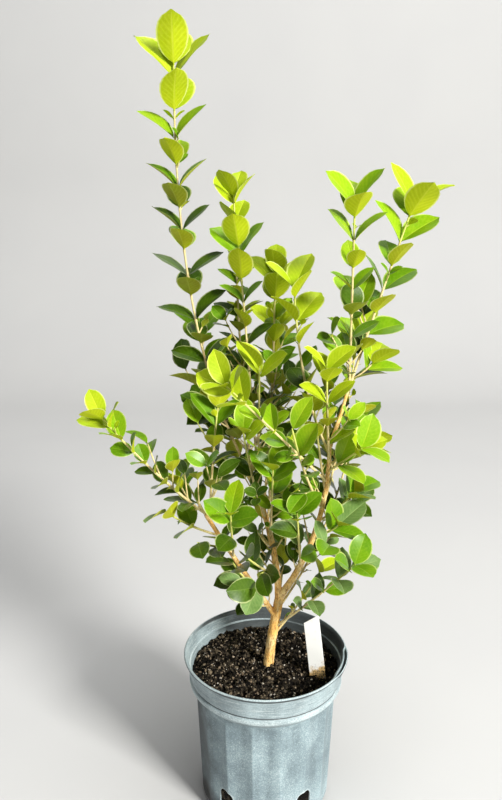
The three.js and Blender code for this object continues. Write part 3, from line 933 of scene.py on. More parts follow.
GROUND = 145.3
TRUNK_FOOT = np.array([3.0, 0.0, GROUND])
FIRST_SEED = 11
LIMB_SEED = 500
SHOWN_LIMBS = ("trunk", "left_bough", "right_bough")
LIMBS = (
    Limb("trunk", None, 0, (14, 0, 224), (0.3, 0.5), (5.3, 4.9), 0.5, girth=0.92),
    Limb("left_bough", "trunk", 0.72, (-58, -20, 322), (0.5, 0.47), (2.9, 2), girth=0.95),
    Limb("middle_bough", "trunk", 0.93, (-15, 25, 344), (0.05, 0.5), (3.5, 2.2)),
    Limb("right_bough", "trunk", 1, (57, -20, 388), (1.02, 0.46), (4.7, 2.4), girth=0.72),
    Limb("upper_right_bough", "right_bough", 1, (75, -5, 442), (0.55, 0.45), (2.3, 1.6),
         girth=0.85),
)
SHOOTS = (
    Shoot("leader", "middle_bough", 1, (-81, 25, 719), (1.1, 0.36), 0.24, 90, 1.24, 0.1,
          plain=260, internode=26),
    Shoot("left_arm", "left_bough", 1, (-145, -45, 423), (0.55, 0.45), 0.1, 80, 0.82,
          plain=60, internode=16),
    Shoot("left_upright", "left_bough", 0.93, (-44, -5, 432), (0.2, 0.5), 0.12, 10, light=-0.1),
    Shoot("left_spire", "middle_bough", 0.93, (-31, 60, 611), (0.75, 0.3), 0.16, 70, 0.86,
          plain=110, internode=17),
    Shoot("middle_spire", "middle_bough", 0.72, (8, 42, 540), (0.9, 0.34), 0.2, 88, plain=70),
    Shoot("centre_spire", "right_bough", 0.96, (24, 5, 530), (0.85, 0.36), 0.14, 35,
          light=-0.1, plain=70),
    Shoot("right_inner_spire", "upper_right_bough", 1, (71, -30, 601), (0.4, 0.5), 0.08, 4,
          light=-0.22, plain=100),
    Shoot("right_outer_spire", "upper_right_bough", 0.8, (129, 16, 601), (0.42, 0.44), 0.08, 10,
          1.16, -0.2, plain=110),
    Shoot("front_shoot", "right_bough", 0.8, (-36, -85, 462), (0.5, 0.5), 0.24, 60, 0.88, 0.3,
          plain=60),
    Shoot("right_side", "right_bough", 0.86, (84, -42, 394), (0.5, 0.5), 0.2, 120, 0.84, 0.15),
    Shoot("right_middle", "right_bough", 0.56, (84, -12, 342), (0.6, 0.42), 0.2, 40, 0.84, -0.3),
    Shoot("rear_right_low", "trunk", 0.8, (88, 40, 388), (0.75, 0.38), 0.32, 30, light=-0.3),
    Shoot("low_right", "trunk", 0.55, (80, -55, 288), (0.55, 0.5), 0.34, 100, 0.84, -0.15,
          plain=400),
    Shoot("centre_front", "middle_bough", 0.52, (5, -35, 372), (0.6, 0.4), 0.24, 60, 0.88, 0.1),
    Shoot("rear_left", "middle_bough", 0.82, (-68, 105, 470), (0.7, 0.36), 0.2, 20),
    Shoot("rear", "middle_bough", 0.6, (12, 112, 482), (0.75, 0.36), 0.24, 95),
    Shoot("rear_right", "right_bough", 0.62, (92, 72, 476), (0.7, 0.36), 0.22, 50),
    Shoot("inner_front", "right_bough", 0.64, (20, -60, 418), (0.6, 0.4), 0.24, 15, 0.88, 0.1),
    Shoot("inner_right", "right_bough", 0.74, (42, -24, 424), (0.5, 0.4), 0.2, 80, 0.84),
    Shoot("left_low", "left_bough", 0.8, (-94, -32, 330), (0.6, 0.4), 0.16, 60, 0.8, -0.4),
    Shoot("left_front_low", "left_bough", 0.6, (-33, -52, 336), (0.6, 0.42), 0.26, 70, 0.84, -0.2),
    Shoot("left_low_twig", "left_bough", 0.34, (-32, -28, 276), (0.6, 0.4), 0.2, 30, 0.84, -0.5),
    Shoot("middle_low_twig", "middle_bough", 0.3, (-6, -32, 266), (0.6, 0.4), 0.24, 80, 0.8, -0.5),
    Shoot("rear_left_low", "middle_bough", 0.42, (-46, 62, 330), (0.65, 0.4), 0.28, 40, 0.86, -0.4),
    Shoot("rear_low", "trunk", 0.9, (26, 70, 298), (0.6, 0.42), 0.3, 75, 0.86, -0.4),
    Shoot("right_low_twig", "right_bough", 0.36, (58, -44, 302), (0.6, 0.4), 0.26, 55, 0.84, -0.3),
    Shoot("upper_inner", "right_bough", 0.92, (50, -44, 466), (0.6, 0.4), 0.14, 9, 0.84, 0.2),
    Shoot("top_inner", "middle_bough", 0.86, (-7, -4, 460), (0.7, 0.4), 0.18, 50),
    Shoot("left_mid", "left_bough", 0.97, (-80, 4, 352), (0.55, 0.45), 0.12, 20, 0.84, -0.2),
    Shoot("left_outer_low", "left_bough", 0.68, (-64, -48, 306), (0.6, 0.55), 0.2, 110, 0.88, -0.4),
    Shoot("left_hanging", "left_bough", 0.3, (-8, -34, 252), (0.5, 0.9), 0.3, 0, 0.88, -0.6),
    Shoot("low_centre", "middle_bough", 0.2, (-26, -40, 294), (0.6, 0.5), 0.3, 40, 0.84, -0.4),
    Shoot("right_low_outer", "right_bough", 0.45, (67, -32, 316), (0.6, 0.45), 0.26, 60, 0.84,
          -0.2),
    Shoot("far_right", "right_bough", 0.9, (92, -4, 384), (0.6, 0.6), 0.24, 70, 0.78),
    Shoot("low_front_right", "trunk", 0.42, (54, 4, 250), (0.6, 0.5), 0.4, 30, 0.8, 0.1, plain=400),
    Shoot("inner_low", "right_bough", 0.26, (27, -42, 332), (0.5, 0.4), 0.3, 20, 0.84, -0.2),
    Shoot("inner_middle", "middle_bough", 0.66, (-22, -24, 404), (0.6, 0.4), 0.24, 70, 0.84),
    Shoot("left_inner_spire", "middle_bough", 0.8, (-26, 26, 566), (0.4, 0.4), 0.3, 84, 0.96, -0.25,
          plain=70),
)


@dataclass(frozen=True)
class Growth:
    """The growth rule of the leafy shoots, in millimetres and degrees."""

    leaf: float = 36.0  # length of a leaf of size one
    droop: float = 0.1  # fall of a leaf's tip, of its length
    bud: float = 2.5  # stem left above the top leaf pair
    first_internode: float = 9.0  # stem between the first and second pairs
    internode: float = 20.0
    internode_jitter: float = 0.18
    tip_spread: float = 40.0  # angle of the newest leaves from the stem
    old_spread: float = 60.0
    spread_jitter: float = 8.0
    age_span: float = 220.0  # distance from the tip at which leaves are fully spread
    age_curve: float = 0.9
    low_age: float = 0.5  # what is added to the age of leaves low in the crown
    low_height: Span = (280.0, 430.0)  # heights between which that fades
    turn_jitter: float = 12.0
    twist_jitter: float = 20.0  # how far a blade rolls about its midrib
    tip_pairs: int = 3  # pairs of the newest flush
    tip_size: Span = (1.0, 1.14)
    old_size: Span = (0.7, 0.96)
    facing_up: Span = (0.4, 0.9)  # pull of a young and an old blade's face towards the sky
    facing_front: Span = (0.55, 0.25)  # pull of both towards the front
    lift: float = 0.1  # pull of a blade's tip towards the sky
    twig_age: float = 95.0  # distance from the tip of the first twig
    twig_chance: float = 0.1
    twig_length: Span = (20.0, 40.0)
    twig_spread: float = 44.0
    twig_internode: float = 15.0
    twig_leaf: float = 0.78
    twig_bare: float = 0.3
    twig_rise: float = 0.35  # how far a twig's end turns to the sky


@dataclass(frozen=True)
class Blade:
    """The form of a leaf, in shares of its length unless something else is said."""

    # Where it is drawn from root to tip.
    rows: tuple[float, ...] = (0.0, 0.06, 0.10, 0.19, 0.32, 0.47, 0.62, 0.76, 0.87, 0.94, 0.98, 1.0)
    # Where it is drawn from margin to margin, in half widths.
    columns: tuple[float, ...] = (-1.0, -0.55, 0.0, 0.55, 1.0)
    stalk: float = 0.06
    stalk_half: float = 0.55  # half the stalk's width, in millimetres
    stalk_thick: float = 0.3  # what the stalk adds to half the thickness, in millimetres
    width: Span = (0.54, 0.70)  # narrowest and widest blade
    oval: Span = (2.1, 0.68)  # powers of the outline's ellipse, inside and outside its bracket
    pinch: float = 0.42  # share of its width that the blade loses towards its point
    pinched: Span = (0.84, 0.985)  # shares of the blade between which that happens
    point_half: float = 0.04  # half the width left at the point, in millimetres
    fold: Span = (0.16, 0.56)  # least and greatest rise of the margins, of half the width
    fold_power: float = 1.25  # power of that rise from midrib to margin
    fold_fade: float = 0.5  # share of the fold that is lost at the tip
    arch: float = 0.02  # rise of the blade's middle
    curl: Span = (-0.04, 0.05)  # least and greatest fall of the outer end
    ripple: float = 0.022
    ripple_run: Span = (11.0, 1.5)  # turns of the ripple along and across the blade, in radians
    half_thick: float = 0.22  # half the thickness at the midrib, in millimetres
    thinning: float = 0.8  # share of the thickness that is lost at the tip


@dataclass
class Leaf:
    """A leaf's place."""

    root: Array  # where it leaves its stem's axis
    along: Array  # unit direction of its midrib
    face: Array  # unit direction that its upper side faces
    length: float
    from_tip: float  # distance of its root from the tip of its shoot
    tone: Tone = Tone.GREEN
    SPOT_ROWS = np.array([0.22, 0.38, 0.54, 0.70, 0.86, 1.0])[:, None, None]
    SPOT_HALVES = np.array([0.20, 0.30, 0.33, 0.28, 0.15, 0.0])[:, None, None]
    SPOT_ACROSS = np.array([-1.0, -0.5, 0.0, 0.5, 1.0])[None, :, None]

    def tip(self, droop: float) -> Array:
        """Where its point ends, with a fall of the tip given as a share of its length."""
        return self.root + (self.along - self.face * droop) * self.length

    def spots(self) -> Array:
        """Points spread over its blade, row by row, to keep other leaves clear of it.

        Returns:
            Their places.
        """
        side = np.cross(self.along, self.face)
        share, half = self.SPOT_ROWS, self.SPOT_HALVES * self.length
        fall = 0.1 * (0.7 * share + 0.3 * share**3) - 0.02 * np.sin(np.pi * share)
        middle = self.root + self.length * (share * self.along - fall * self.face)
        return (middle + half * self.SPOT_ACROSS * side).reshape(-1, 3)


@dataclass(frozen=True)
class Colouring:
    """How old a leaf looks, from 0 at a bright tip to 1 deep in the crown, and its colour."""

    span: float = 130.0  # distance from the tip of its shoot that ages it by one
    depth: float = 120.0  # distance behind the crown's middle that ages it by what behind says, so that leaves at the back are dealt darker tones as painted shade
    behind: float = 0.35  # how much that is
    low_heights: Span = (480.0, 300.0)  # heights from which and to which low leaves look older
    low: float = 0.55  # how much older
    chance: float = 0.32  # how far chance moves a pair's age
    # Ages below which a leaf has each of the newer tones.
    limits: tuple[tuple[float, Tone], ...] = (
        (0.24, Tone.LIME), (0.55, Tone.FRESH), (1.0, Tone.GREEN))
    dusty_chance: float = 0.45  # share of the low leaves that are dusty
    dusty_height: float = 315.0
    dusty_side: float = -25.0  # place to the right of which they are
    dusty_age: float = 0.3

    def age(self, leaf: Leaf) -> float:
        """How old a leaf looks by its place alone, with painted shade counted as age for leaves
        behind the crown's middle.

        Args:
            leaf: The leaf.

        Returns:
            Its age.
        """
        # painted shade: leaves behind the crown's middle look older and are dealt darker tones
        behind = max(0.0, leaf.root[1]) / self.depth
        low = float(smooth(leaf.root[2], *self.low_heights))
        return leaf.from_tip / self.span + self.behind * behind + self.low * low

    def tone(self, age: float, place: Array, chance: float) -> Tone:
        """The colour for an age.

        Args:
            age: How old the leaf looks.
            place: Its root.
            chance: A number from 0 to 1.

        Returns:
            Its tone.
        """
        dusty = place[2] < self.dusty_height and place[0] > self.dusty_side
        if dusty and chance < self.dusty_chance and age > self.dusty_age:
            return Tone.DUSTY
        return next((tone for limit, tone in self.limits if age < limit), Tone.DEEP)


@dataclass
class Stem:
    """A stem or twig to be drawn."""

    curve: Bend
    foot: float  # radius at the foot
    tip: float  # radius at the tip
    from_tip: float = 0.0  # distance of its tip from the tip of its shoot
    # Shares of its length at which leaf pairs swell it.
    nodes: list[float] = field(default_factory=list)


@dataclass
class TwigPlan:
    """Where a side twig leaves a stem."""

    root: Array  # point on the stem's axis
    heading: Array  # the stem's direction there
    turn: float  # the twig's turn about the upright
    reach: float  # its length
    seed: int


def outward(heading: Array, turn: float) -> Array:
    """A level direction at a turn, leant until it stands square to a stem."""
    level = np.array([math.cos(turn), math.sin(turn), 0.0])
    return unit(level - heading * float(level @ heading))


def nearest(places: Array, spots: Array) -> float:
    """The least distance between two sets of points."""
    return float(np.linalg.norm(places[:, None, :] - spots[None, :, :], axis=2).min())


@dataclass
class Crown:
    """The leafy crown: stems, twigs and leaves grown from the limbs by the seeded rule."""

    limbs: dict[str, Bend]  # paths of the woody limbs by name
    rule: Growth = Growth()
    blade: Blade = Blade()
    colouring: Colouring = Colouring()
    # Radii at the foot and the tip.
    stem_radius: Span = (1.3, 0.75)
    twig_radius: Span = (0.9, 0.6)
    sprig_radius: Span = (0.81, 0.48)
    # Share of a twig's distance from the tip of its shoot that counts as its age.
    twig_green: float = 0.4
    stem_sides: int = 8
    stem_spacing: float = 4.0
    stem_bud: float = 3.0  # length over which it closes at its tip
    swelling: float = 0.28  # how much a leaf pair swells it
    swelling_reach: float = 2.2  # distance over which that fades
    solid_reach: float = 0.6  # how near a solid's corner lies to the tip of a leaf that it holds
    sprig_chance: float = 0.8  # chance of a fine sprig beside an old leaf
    sprig_rise: float = 90.0  # length below a shoot's plain top over which sprigs become common
    sprig_step: Span = (0.8, 0.2)  # distance between sprigs and how far it strays, of an internode
    sprig_length: Span = (12.0, 46.0)
    sprig_leaf: Span = (0.5, 0.82)
    sprig_age: float = 0.7  # share of a sprig's distance from the tip that ages its leaves
    sprig_bare: float = 0.15
    sprig_foot: float = 0.4  # share of a shoot's bare foot that bears no sprigs either
    sprig_stray: float = 0.4  # how far a sprig's turn strays, in radians
    # Turns that are tried for a sprig, in degrees.
    sprig_turns: tuple[float, ...] = (0.0, 50.0, -50.0)
    bud_chance: float = 0.3  # chance of a bud with two small leaves beside a young leaf
    bud_size: Span = (0.22, 0.38)  # length and leaf size of a bud, of a sprig's
    clearance: float = 3.2  # room that a leaf of a fine sprig keeps from other leaves
    blade_reach: float = 20.0  # how far from a leaf's middle its blade may reach
    wood_room: float = 2.8  # room that it keeps from stems and limbs
    pot_room: float = 25.0  # height that it keeps above the foot of the trunk
    reach: float = 26.0  # how far its tip may be from the leaves that the solids hold
    sight: float = 7.5  # room that it keeps from the view and from the light of the boughs in front
    # First, last and step of the distances at which that is tested.
    sight_steps: tuple[float, float, float] = (6.0, 110.0, 6.0)
    WOOD_DOTS = 60
    SHOWN_DOTS = 40
    SEEDS = 1e6

    def __post_init__(self) -> None:
        """Starts with nothing grown but the limbs."""
        self.leaves: list[Leaf] = []
        self.stems: list[Stem] = []
        self.blades: list[Array] = []
        self.centres: list[Array] = []
        self.wood = np.concatenate([curve.dots(self.WOOD_DOTS) for curve in self.limbs.values()])
        shown = np.concatenate([self.limbs[name].dots(self.SHOWN_DOTS) for name in SHOWN_LIMBS])
        away = np.arange(*self.sight_steps)[:, None]
        rays = [unit(np.array(place) - shown)[:, None] for place in (Studio.eye, Studio.key)]
        self.views = np.concatenate([(shown[:, None] + ray * away).reshape(-1, 3) for ray in rays])

    def grow(self) -> None:
        """Grows every shoot by the rule, then the fine sprigs in the room that is left."""
        for seed, shoot in enumerate(SHOOTS, FIRST_SEED):
            self.grow_shoot(shoot, seed)
        self.bounds = np.concatenate(self.blades)
        stems = [stem.curve.dots(self.WOOD_DOTS) for stem in self.stems]
        self.wood = np.concatenate([self.wood, *stems])
        for seed, shoot in enumerate(SHOOTS, FIRST_SEED):
            self.grow_sprigs(shoot, self.shoot_curve(shoot), seed)
        for index, limb in enumerate(LIMBS[1:]):
            inner = Shoot(limb.name, limb.name, 0.0, limb.tip, limb.bend, bare=0.25,
                          facing=45.0 * index, leaf=0.84, light=-0.35)
            self.grow_sprigs(inner, self.limbs[limb.name], LIMB_SEED + index)

    def shoot_curve(self, shoot: Shoot) -> Bend:
        """The path of a shoot's stem."""
        foot = self.limbs[shoot.limb].at(shoot.at)
        return Bend.between(foot, np.array(shoot.tip, float), shoot.bend)

    def leaf_at(self, twig: TwigPlan, age: float, spread: float, twist: float,
                from_tip: float) -> Leaf:
        """The leaf that grows from a point on a stem.

        Its midrib is heading cos(spread) + outward sin(spread), lifted a little; its face is
        heading sin(spread) - outward cos(spread), pulled to the sky and the front and squared to
        the midrib.

        Args:
            twig: Where it leaves the stem, as for a twig; its reach is the leaf's length.
            age: Its age from 0 to 1.
            spread: Angle from the stem.
            twist: Roll about its midrib.
            from_tip: Distance of the root from the tip of the shoot.

        Returns:
            The leaf.
        """
        rule, heading = self.rule, twig.heading
        out = outward(heading, twig.turn)
        along = unit(heading * math.cos(spread) + out * math.sin(spread) + UP * rule.lift)
        face = heading * math.sin(spread) - out * math.cos(spread)
        face = face + UP * lerp(*rule.facing_up, age) - BACKWARD * lerp(*rule.facing_front, age)
        face = unit(face - along * float(face @ along))
        return Leaf(twig.root, along, turned(face, along, twist), twig.reach, from_tip)

    def plan(self, curve: Bend, seed: int, facing: float, bare: float, size: float, steps: Span,
             with_twigs: bool = False,
             from_tip: float = 0.0) -> tuple[list[Leaf], list[TwigPlan], list[float]]:
        """Leaf pairs and twigs of one stem, from its tip down.

        Args:
            curve: The stem's path.
            seed: Seed of its stream of numbers.
            facing: Turn of the top pair.
            bare: Share of the stem without leaves.
            size: Size of its leaves.
            steps: Internodes of the newest flush, after the first, and of the older stem.
            with_twigs: Whether twigs grow.
            from_tip: Distance of the stem's tip from the tip of its shoot.

        Returns:
            Leaves two by two, twigs, and shares of the length at which the pairs stand.
        """
        rule, random = self.rule, Seeded(seed)
        leaves, twigs, nodes = [], [], []
        back, turn, internode, pair = rule.bud, facing, rule.first_internode, 0
        while back < curve.length * (1.0 - bare):
            share = 1.0 - back / curve.length
            root, heading = curve.at(share), curve.heading(share)
            low = 1.0 - float(smooth(root[2], *rule.low_height))
            age = min(1.0, (back / rule.age_span) ** rule.age_curve + rule.low_age * low)
            sizes = rule.tip_size if pair < rule.tip_pairs else rule.old_size
            length = rule.leaf * size * lerp(*sizes, random())
            open_angle = lerp(rule.tip_spread, rule.old_spread, age)
            for half in (0.0, math.pi):
                spread = math.radians(open_angle + random.wobble(rule.spread_jitter))
                leaf_turn = turn + half + math.radians(random.wobble(rule.turn_jitter))
                twist = math.radians(random.wobble(rule.twist_jitter))
                spot = TwigPlan(root, heading, leaf_turn, length, 0)
                leaves.append(self.leaf_at(spot, age, spread, twist, from_tip + back))
                wanted = random() < rule.twig_chance
                reach = lerp(*rule.twig_length, random())
                if with_twigs and wanted and back > rule.twig_age:
                    own = int(random() * self.SEEDS)
                    twigs.append(TwigPlan(root, heading, leaf_turn, reach, own))
            nodes.append(share)
            back += internode * (1.0 + random.wobble(rule.internode_jitter))
            pair += 1
            internode = steps[0] if pair < rule.tip_pairs else steps[1]
            turn += math.pi / 2
        return leaves, twigs, nodes

    def twig_curve(self, twig: TwigPlan) -> Bend:
        """The path of a twig that leaves a stem beside a leaf and turns up.

        Args:
            twig: The twig's plan.

        Returns:
            Its path.
        """
        spread = math.radians(self.rule.twig_spread)
        out = outward(twig.heading, twig.turn)
        start = twig.heading * math.cos(spread) + out * math.sin(spread)
        bend = twig.root + start * twig.reach / 2
        rising = unit(start + (UP - start) * self.rule.twig_rise)
        return Bend(twig.root, bend, bend + rising * twig.reach / 2)

    def held(self, leaves: Sequence[Leaf], shoot: Shoot) -> list[Leaf]:
        """The leaves whose tips are corners of a mass's solid.

        Args:
            leaves: Leaves that the rule gives.
            shoot: The mass's shoot.

        Returns:
            Those that the solid holds.
        """
        mesh = frame["nodes"][shoot.mass].data
        flat = np.empty(len(mesh.vertices) * 3, np.float32)
        mesh.vertices.foreach_get("co", flat)
        corners = flat.reshape(-1, 3) / MM
        gaps = [np.linalg.norm(corners - leaf.tip(self.rule.droop), axis=1) for leaf in leaves]
        return [leaf for leaf, gap in zip(leaves, gaps) if gap.min() < self.solid_reach]

    def grow_shoot(self, shoot: Shoot, seed: int) -> None:
        """Grows one mass by the rule, with the leaves and twigs that its solid holds.

        Args:
            shoot: The mass's shoot.
            seed: Its seed.
        """
        rule = self.rule
        curve = self.shoot_curve(shoot)
        steps = (shoot.internode, min(shoot.internode, rule.internode))
        leaves, twigs, nodes = self.plan(curve, seed, math.radians(shoot.facing), shoot.bare,
                                         shoot.leaf, steps, with_twigs=True)
        self.stems.append(Stem(curve, *self.stem_radius, nodes=nodes))
        self.deal(shoot, self.held(leaves, shoot), seed)
        for twig in twigs:
            path = self.twig_curve(twig)
            own, _, nodes = self.plan(path, twig.seed, twig.turn + math.pi / 2, rule.twig_bare,
                                      rule.twig_leaf * shoot.leaf, (rule.twig_internode,) * 2)
            kept = self.held(own, shoot)
            if kept:
                from_tip = float(np.linalg.norm(twig.root - curve.tip)) * self.twig_green
                self.stems.append(Stem(path, *self.twig_radius, from_tip, nodes))
                self.deal(shoot, kept, twig.seed)

    def deal(self, shoot: Shoot, leaves: Sequence[Leaf], seed: int) -> None:
        """Adds leaves, with a colour dealt to each pair by its age, its place and chance.

        Args:
            shoot: The shoot they grow on.
            leaves: The leaves.
            seed: Seed of the chance.
        """
        random = Seeded(seed * 7 + 3)
        drawn: dict[float, float] = {}
        for leaf in leaves:
            chance = drawn.setdefault(leaf.from_tip, random.wobble(self.colouring.chance))
            age = self.colouring.age(leaf) - shoot.light + chance
            leaf.tone = self.colouring.tone(age, leaf.root, random())
            spots = leaf.spots()
            self.leaves.append(leaf)
            self.blades.append(spots)
            self.centres.append(spots.mean(axis=0))

    def grow_sprigs(self, shoot: Shoot, curve: Bend, seed: int) -> None:
        """Adds fine sprigs and buds along a shoot or limb, where there is room for their leaves.

        Args:
            shoot: The shoot.
            curve: Its path.
            seed: Its seed.
        """
        random = Seeded(seed * 131 + 17)
        back = self.rule.internode
        turn = math.radians(shoot.facing)
        step, stray = self.sprig_step
        while back < curve.length * (1.0 - shoot.bare * self.sprig_foot):
            share = 1.0 - back / curve.length
            root, heading = curve.at(share), curve.heading(share)
            common = float(smooth(back, shoot.plain, shoot.plain + self.sprig_rise))
            for half in (0.0, math.pi):
                chance = random()
                reach = lerp(*self.sprig_length, random())
                size = lerp(*self.sprig_leaf, random())
                own = int(random() * self.SEEDS)
                bud = chance > 1.0 - self.bud_chance and shoot.name not in self.limbs
                if bud:
                    reach, size = reach * self.bud_size[0], size * self.bud_size[1]
                sprig_turn = turn + half + random.wobble(self.sprig_stray)
                if bud or chance < self.sprig_chance * common:
                    twig = TwigPlan(root, heading, sprig_turn, reach, own)
                    self.add_sprig(shoot, twig, size, back)
            back += self.rule.internode * (step + random.wobble(stray))
            turn += math.pi / 2

    def add_sprig(self, shoot: Shoot, twig: TwigPlan, size: float, back: float) -> None:
        """Adds a sprig at the turn that keeps most leaves, with those that have room.

        Args:
            shoot: The shoot it grows on.
            twig: Its plan.
            size: Size of its leaves.
            back: Its distance from the tip of the shoot.
        """
        best: list[Leaf] = []
        stem = None
        for turn in self.sprig_turns:
            tried = replace(twig, turn=twig.turn + math.radians(turn))
            path = self.twig_curve(tried)
            leaves, _, nodes = self.plan(
                path, twig.seed, tried.turn + math.pi / 2, self.sprig_bare, size * shoot.leaf,
                (self.rule.twig_internode,) * 2, from_tip=back * self.sprig_age)
            kept = [leaf for leaf in leaves if self.has_room(leaf)]
            if len(kept) > len(best):
                best = kept
                stem = Stem(path, *self.sprig_radius, back * self.twig_green, nodes)
        if stem:
            self.stems.append(stem)
            self.deal(shoot, best, twig.seed)

    def has_room(self, leaf: Leaf) -> bool:
        """Whether a blade keeps clear of leaves, wood and pot, and within the crown.

        Args:
            leaf: The leaf.

        Returns:
            True where it has room.
        """
        spots = leaf.spots()
        past_stalk = spots[leaf.SPOT_ACROSS.size:]
        if spots[:, 2].min() < GROUND + self.pot_room:
            return False
        from_crown = np.linalg.norm(self.bounds - leaf.tip(self.rule.droop), axis=1)
        if from_crown.min() > self.reach:
            return False
        middle = spots.mean(axis=0)
        for places, tested, room in ((self.wood, past_stalk, self.wood_room),
                                     (self.views, spots, self.sight)):
            close = places[np.linalg.norm(places - middle, axis=1) < leaf.length]
            if len(close) and nearest(close, tested) < room:
                return False
        apart = np.linalg.norm(np.array(self.centres) - middle, axis=1)
        near = np.flatnonzero(apart < self.blade_reach + leaf.length)
        blades = [self.blades[index] for index in near]
        return not blades or nearest(np.concatenate(blades), spots) > self.clearance

    def leaf_patch(self, leaves: Sequence[Leaf], upper: bool) -> Patch:
        """One side of many leaves.

        A blade's point is root + along s + side v w(s) + face h, where w is the half width of an
        ellipse drawn to a short point, and h is the fold of the sides to a crease at the midrib,
        the fall and curl of the tip, a ripple of the margin and half the blade's thickness on the
        side that is drawn.

        Args:
            leaves: The leaves.
            upper: Whether the upper side is drawn.

        Returns:
            The leaves' faces, with U across each blade and V from root to tip.
        """
        form, shape = self.blade, (len(leaves), 1, 1)
        chance = np.random.default_rng(int(sum(leaf.length for leaf in leaves) * 1000) % 2**31)
        length = np.array([leaf.length for leaf in leaves]).reshape(shape)
        share = np.array(form.rows)[:, None]
        across = np.array(form.columns)
        on_stalk = share <= form.stalk
        blade = np.clip((share - form.stalk) / (1.0 - form.stalk), 0.0, 1.0)
        oval = (1.0 - np.abs(2.0 * blade - 1.0) ** form.oval[0]) ** form.oval[1]
        oval = oval * (1.0 - form.pinch * smooth(blade, *form.pinched))
        half = oval * chance.uniform(*form.width, shape) * length / 2
        half = np.maximum(half, np.where(on_stalk, form.stalk_half, form.point_half))
        fold = chance.uniform(*form.fold, shape) * (1.0 - form.fold_fade * share)
        curl = chance.uniform(*form.curl, shape) * length
        wave = chance.uniform(0.0, 2 * np.pi, shape)
        wave = np.sin(form.ripple_run[0] * share + wave + form.ripple_run[1] * across)
        ripple = chance.uniform(0.0, form.ripple, shape) * length * wave
        height = fold * half * np.abs(across) ** form.fold_power
        height = height - self.rule.droop * length * share**2 - curl * share**4
        height = height + form.arch * length * np.sin(np.pi * share) + ripple * across**2 * blade
        thick = form.half_thick * np.sqrt(np.maximum(0.0, 1.0 - across**2))
        thick = (thick + np.where(on_stalk, form.stalk_thick, 0.0)) * (1.0 - form.thinning * share)
        height = height + (thick if upper else -thick)
        root, along, face = (np.array([getattr(leaf, key) for leaf in leaves])[:, None, None]
                             for key in ("root", "along", "face"))
        side = np.cross(along, face)
        points = root + along * (share * length)[..., None] + side * (half * across)[..., None]
        points = points + face * height[..., None]
        quads = grid_quads(share.size, across.size)
        if not upper:
            quads = quads[:, [0, 3, 2, 1]]
        shifts = np.arange(len(leaves)).reshape(shape) * share.size * across.size
        uv = np.broadcast_arrays((across + 1) / 2, share, length)[:2]
        return Patch(points, quads + shifts, np.stack(uv, axis=-1))

    def stem_patch(self, stem: Stem) -> Patch:
        """A tapering stem that swells a little at its leaf pairs and closes to a bud at its tip.

        Args:
            stem: The stem.

        Returns:
            The tube, with V the distance from the tip of its shoot in millimetres.
        """
        length = stem.curve.length
        share = np.linspace(0.0, 1.0, max(6, int(length / self.stem_spacing)))
        radius = lerp(stem.foot, stem.tip, share)
        for node in stem.nodes:
            swelling = bell((share - node) * length, self.swelling_reach)
            radius = radius * (1.0 + self.swelling * swelling)
        radius = radius * np.sqrt(np.clip((1.002 - share) * length / self.stem_bud, 0.0004, 1.0))
        tube = swept(stem.curve.at(share), radius, self.stem_sides)
        tube.uv[:, 1] = stem.from_tip + length - tube.uv[:, 1]
        return tube

    def build(self) -> None:
        """Makes the twigs and, for each tone, the two sides of its leaves."""
        masses = [shoot.mass for shoot in SHOOTS]
        stems = joined([self.stem_patch(stem) for stem in self.stems])
        made = [piece("twigs", stems, TWIGS.material())]
        for tone in Tone:
            leaves = [leaf for leaf in self.leaves if leaf.tone is tone]
            if not leaves:
                continue
            LOG.info("%s leaves: %d", tone.value, len(leaves))
            for side, finishes in (("upper", UPPER_FINISH), ("under", UNDER_FINISH)):
                patch = self.leaf_patch(leaves, side == "upper")
                made.append(piece(f"{tone.value}_leaves_{side}", patch, finishes[tone].material()))
                creased(made[-1], len(self.blade.columns))
        for each in made:
            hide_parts(*masses)


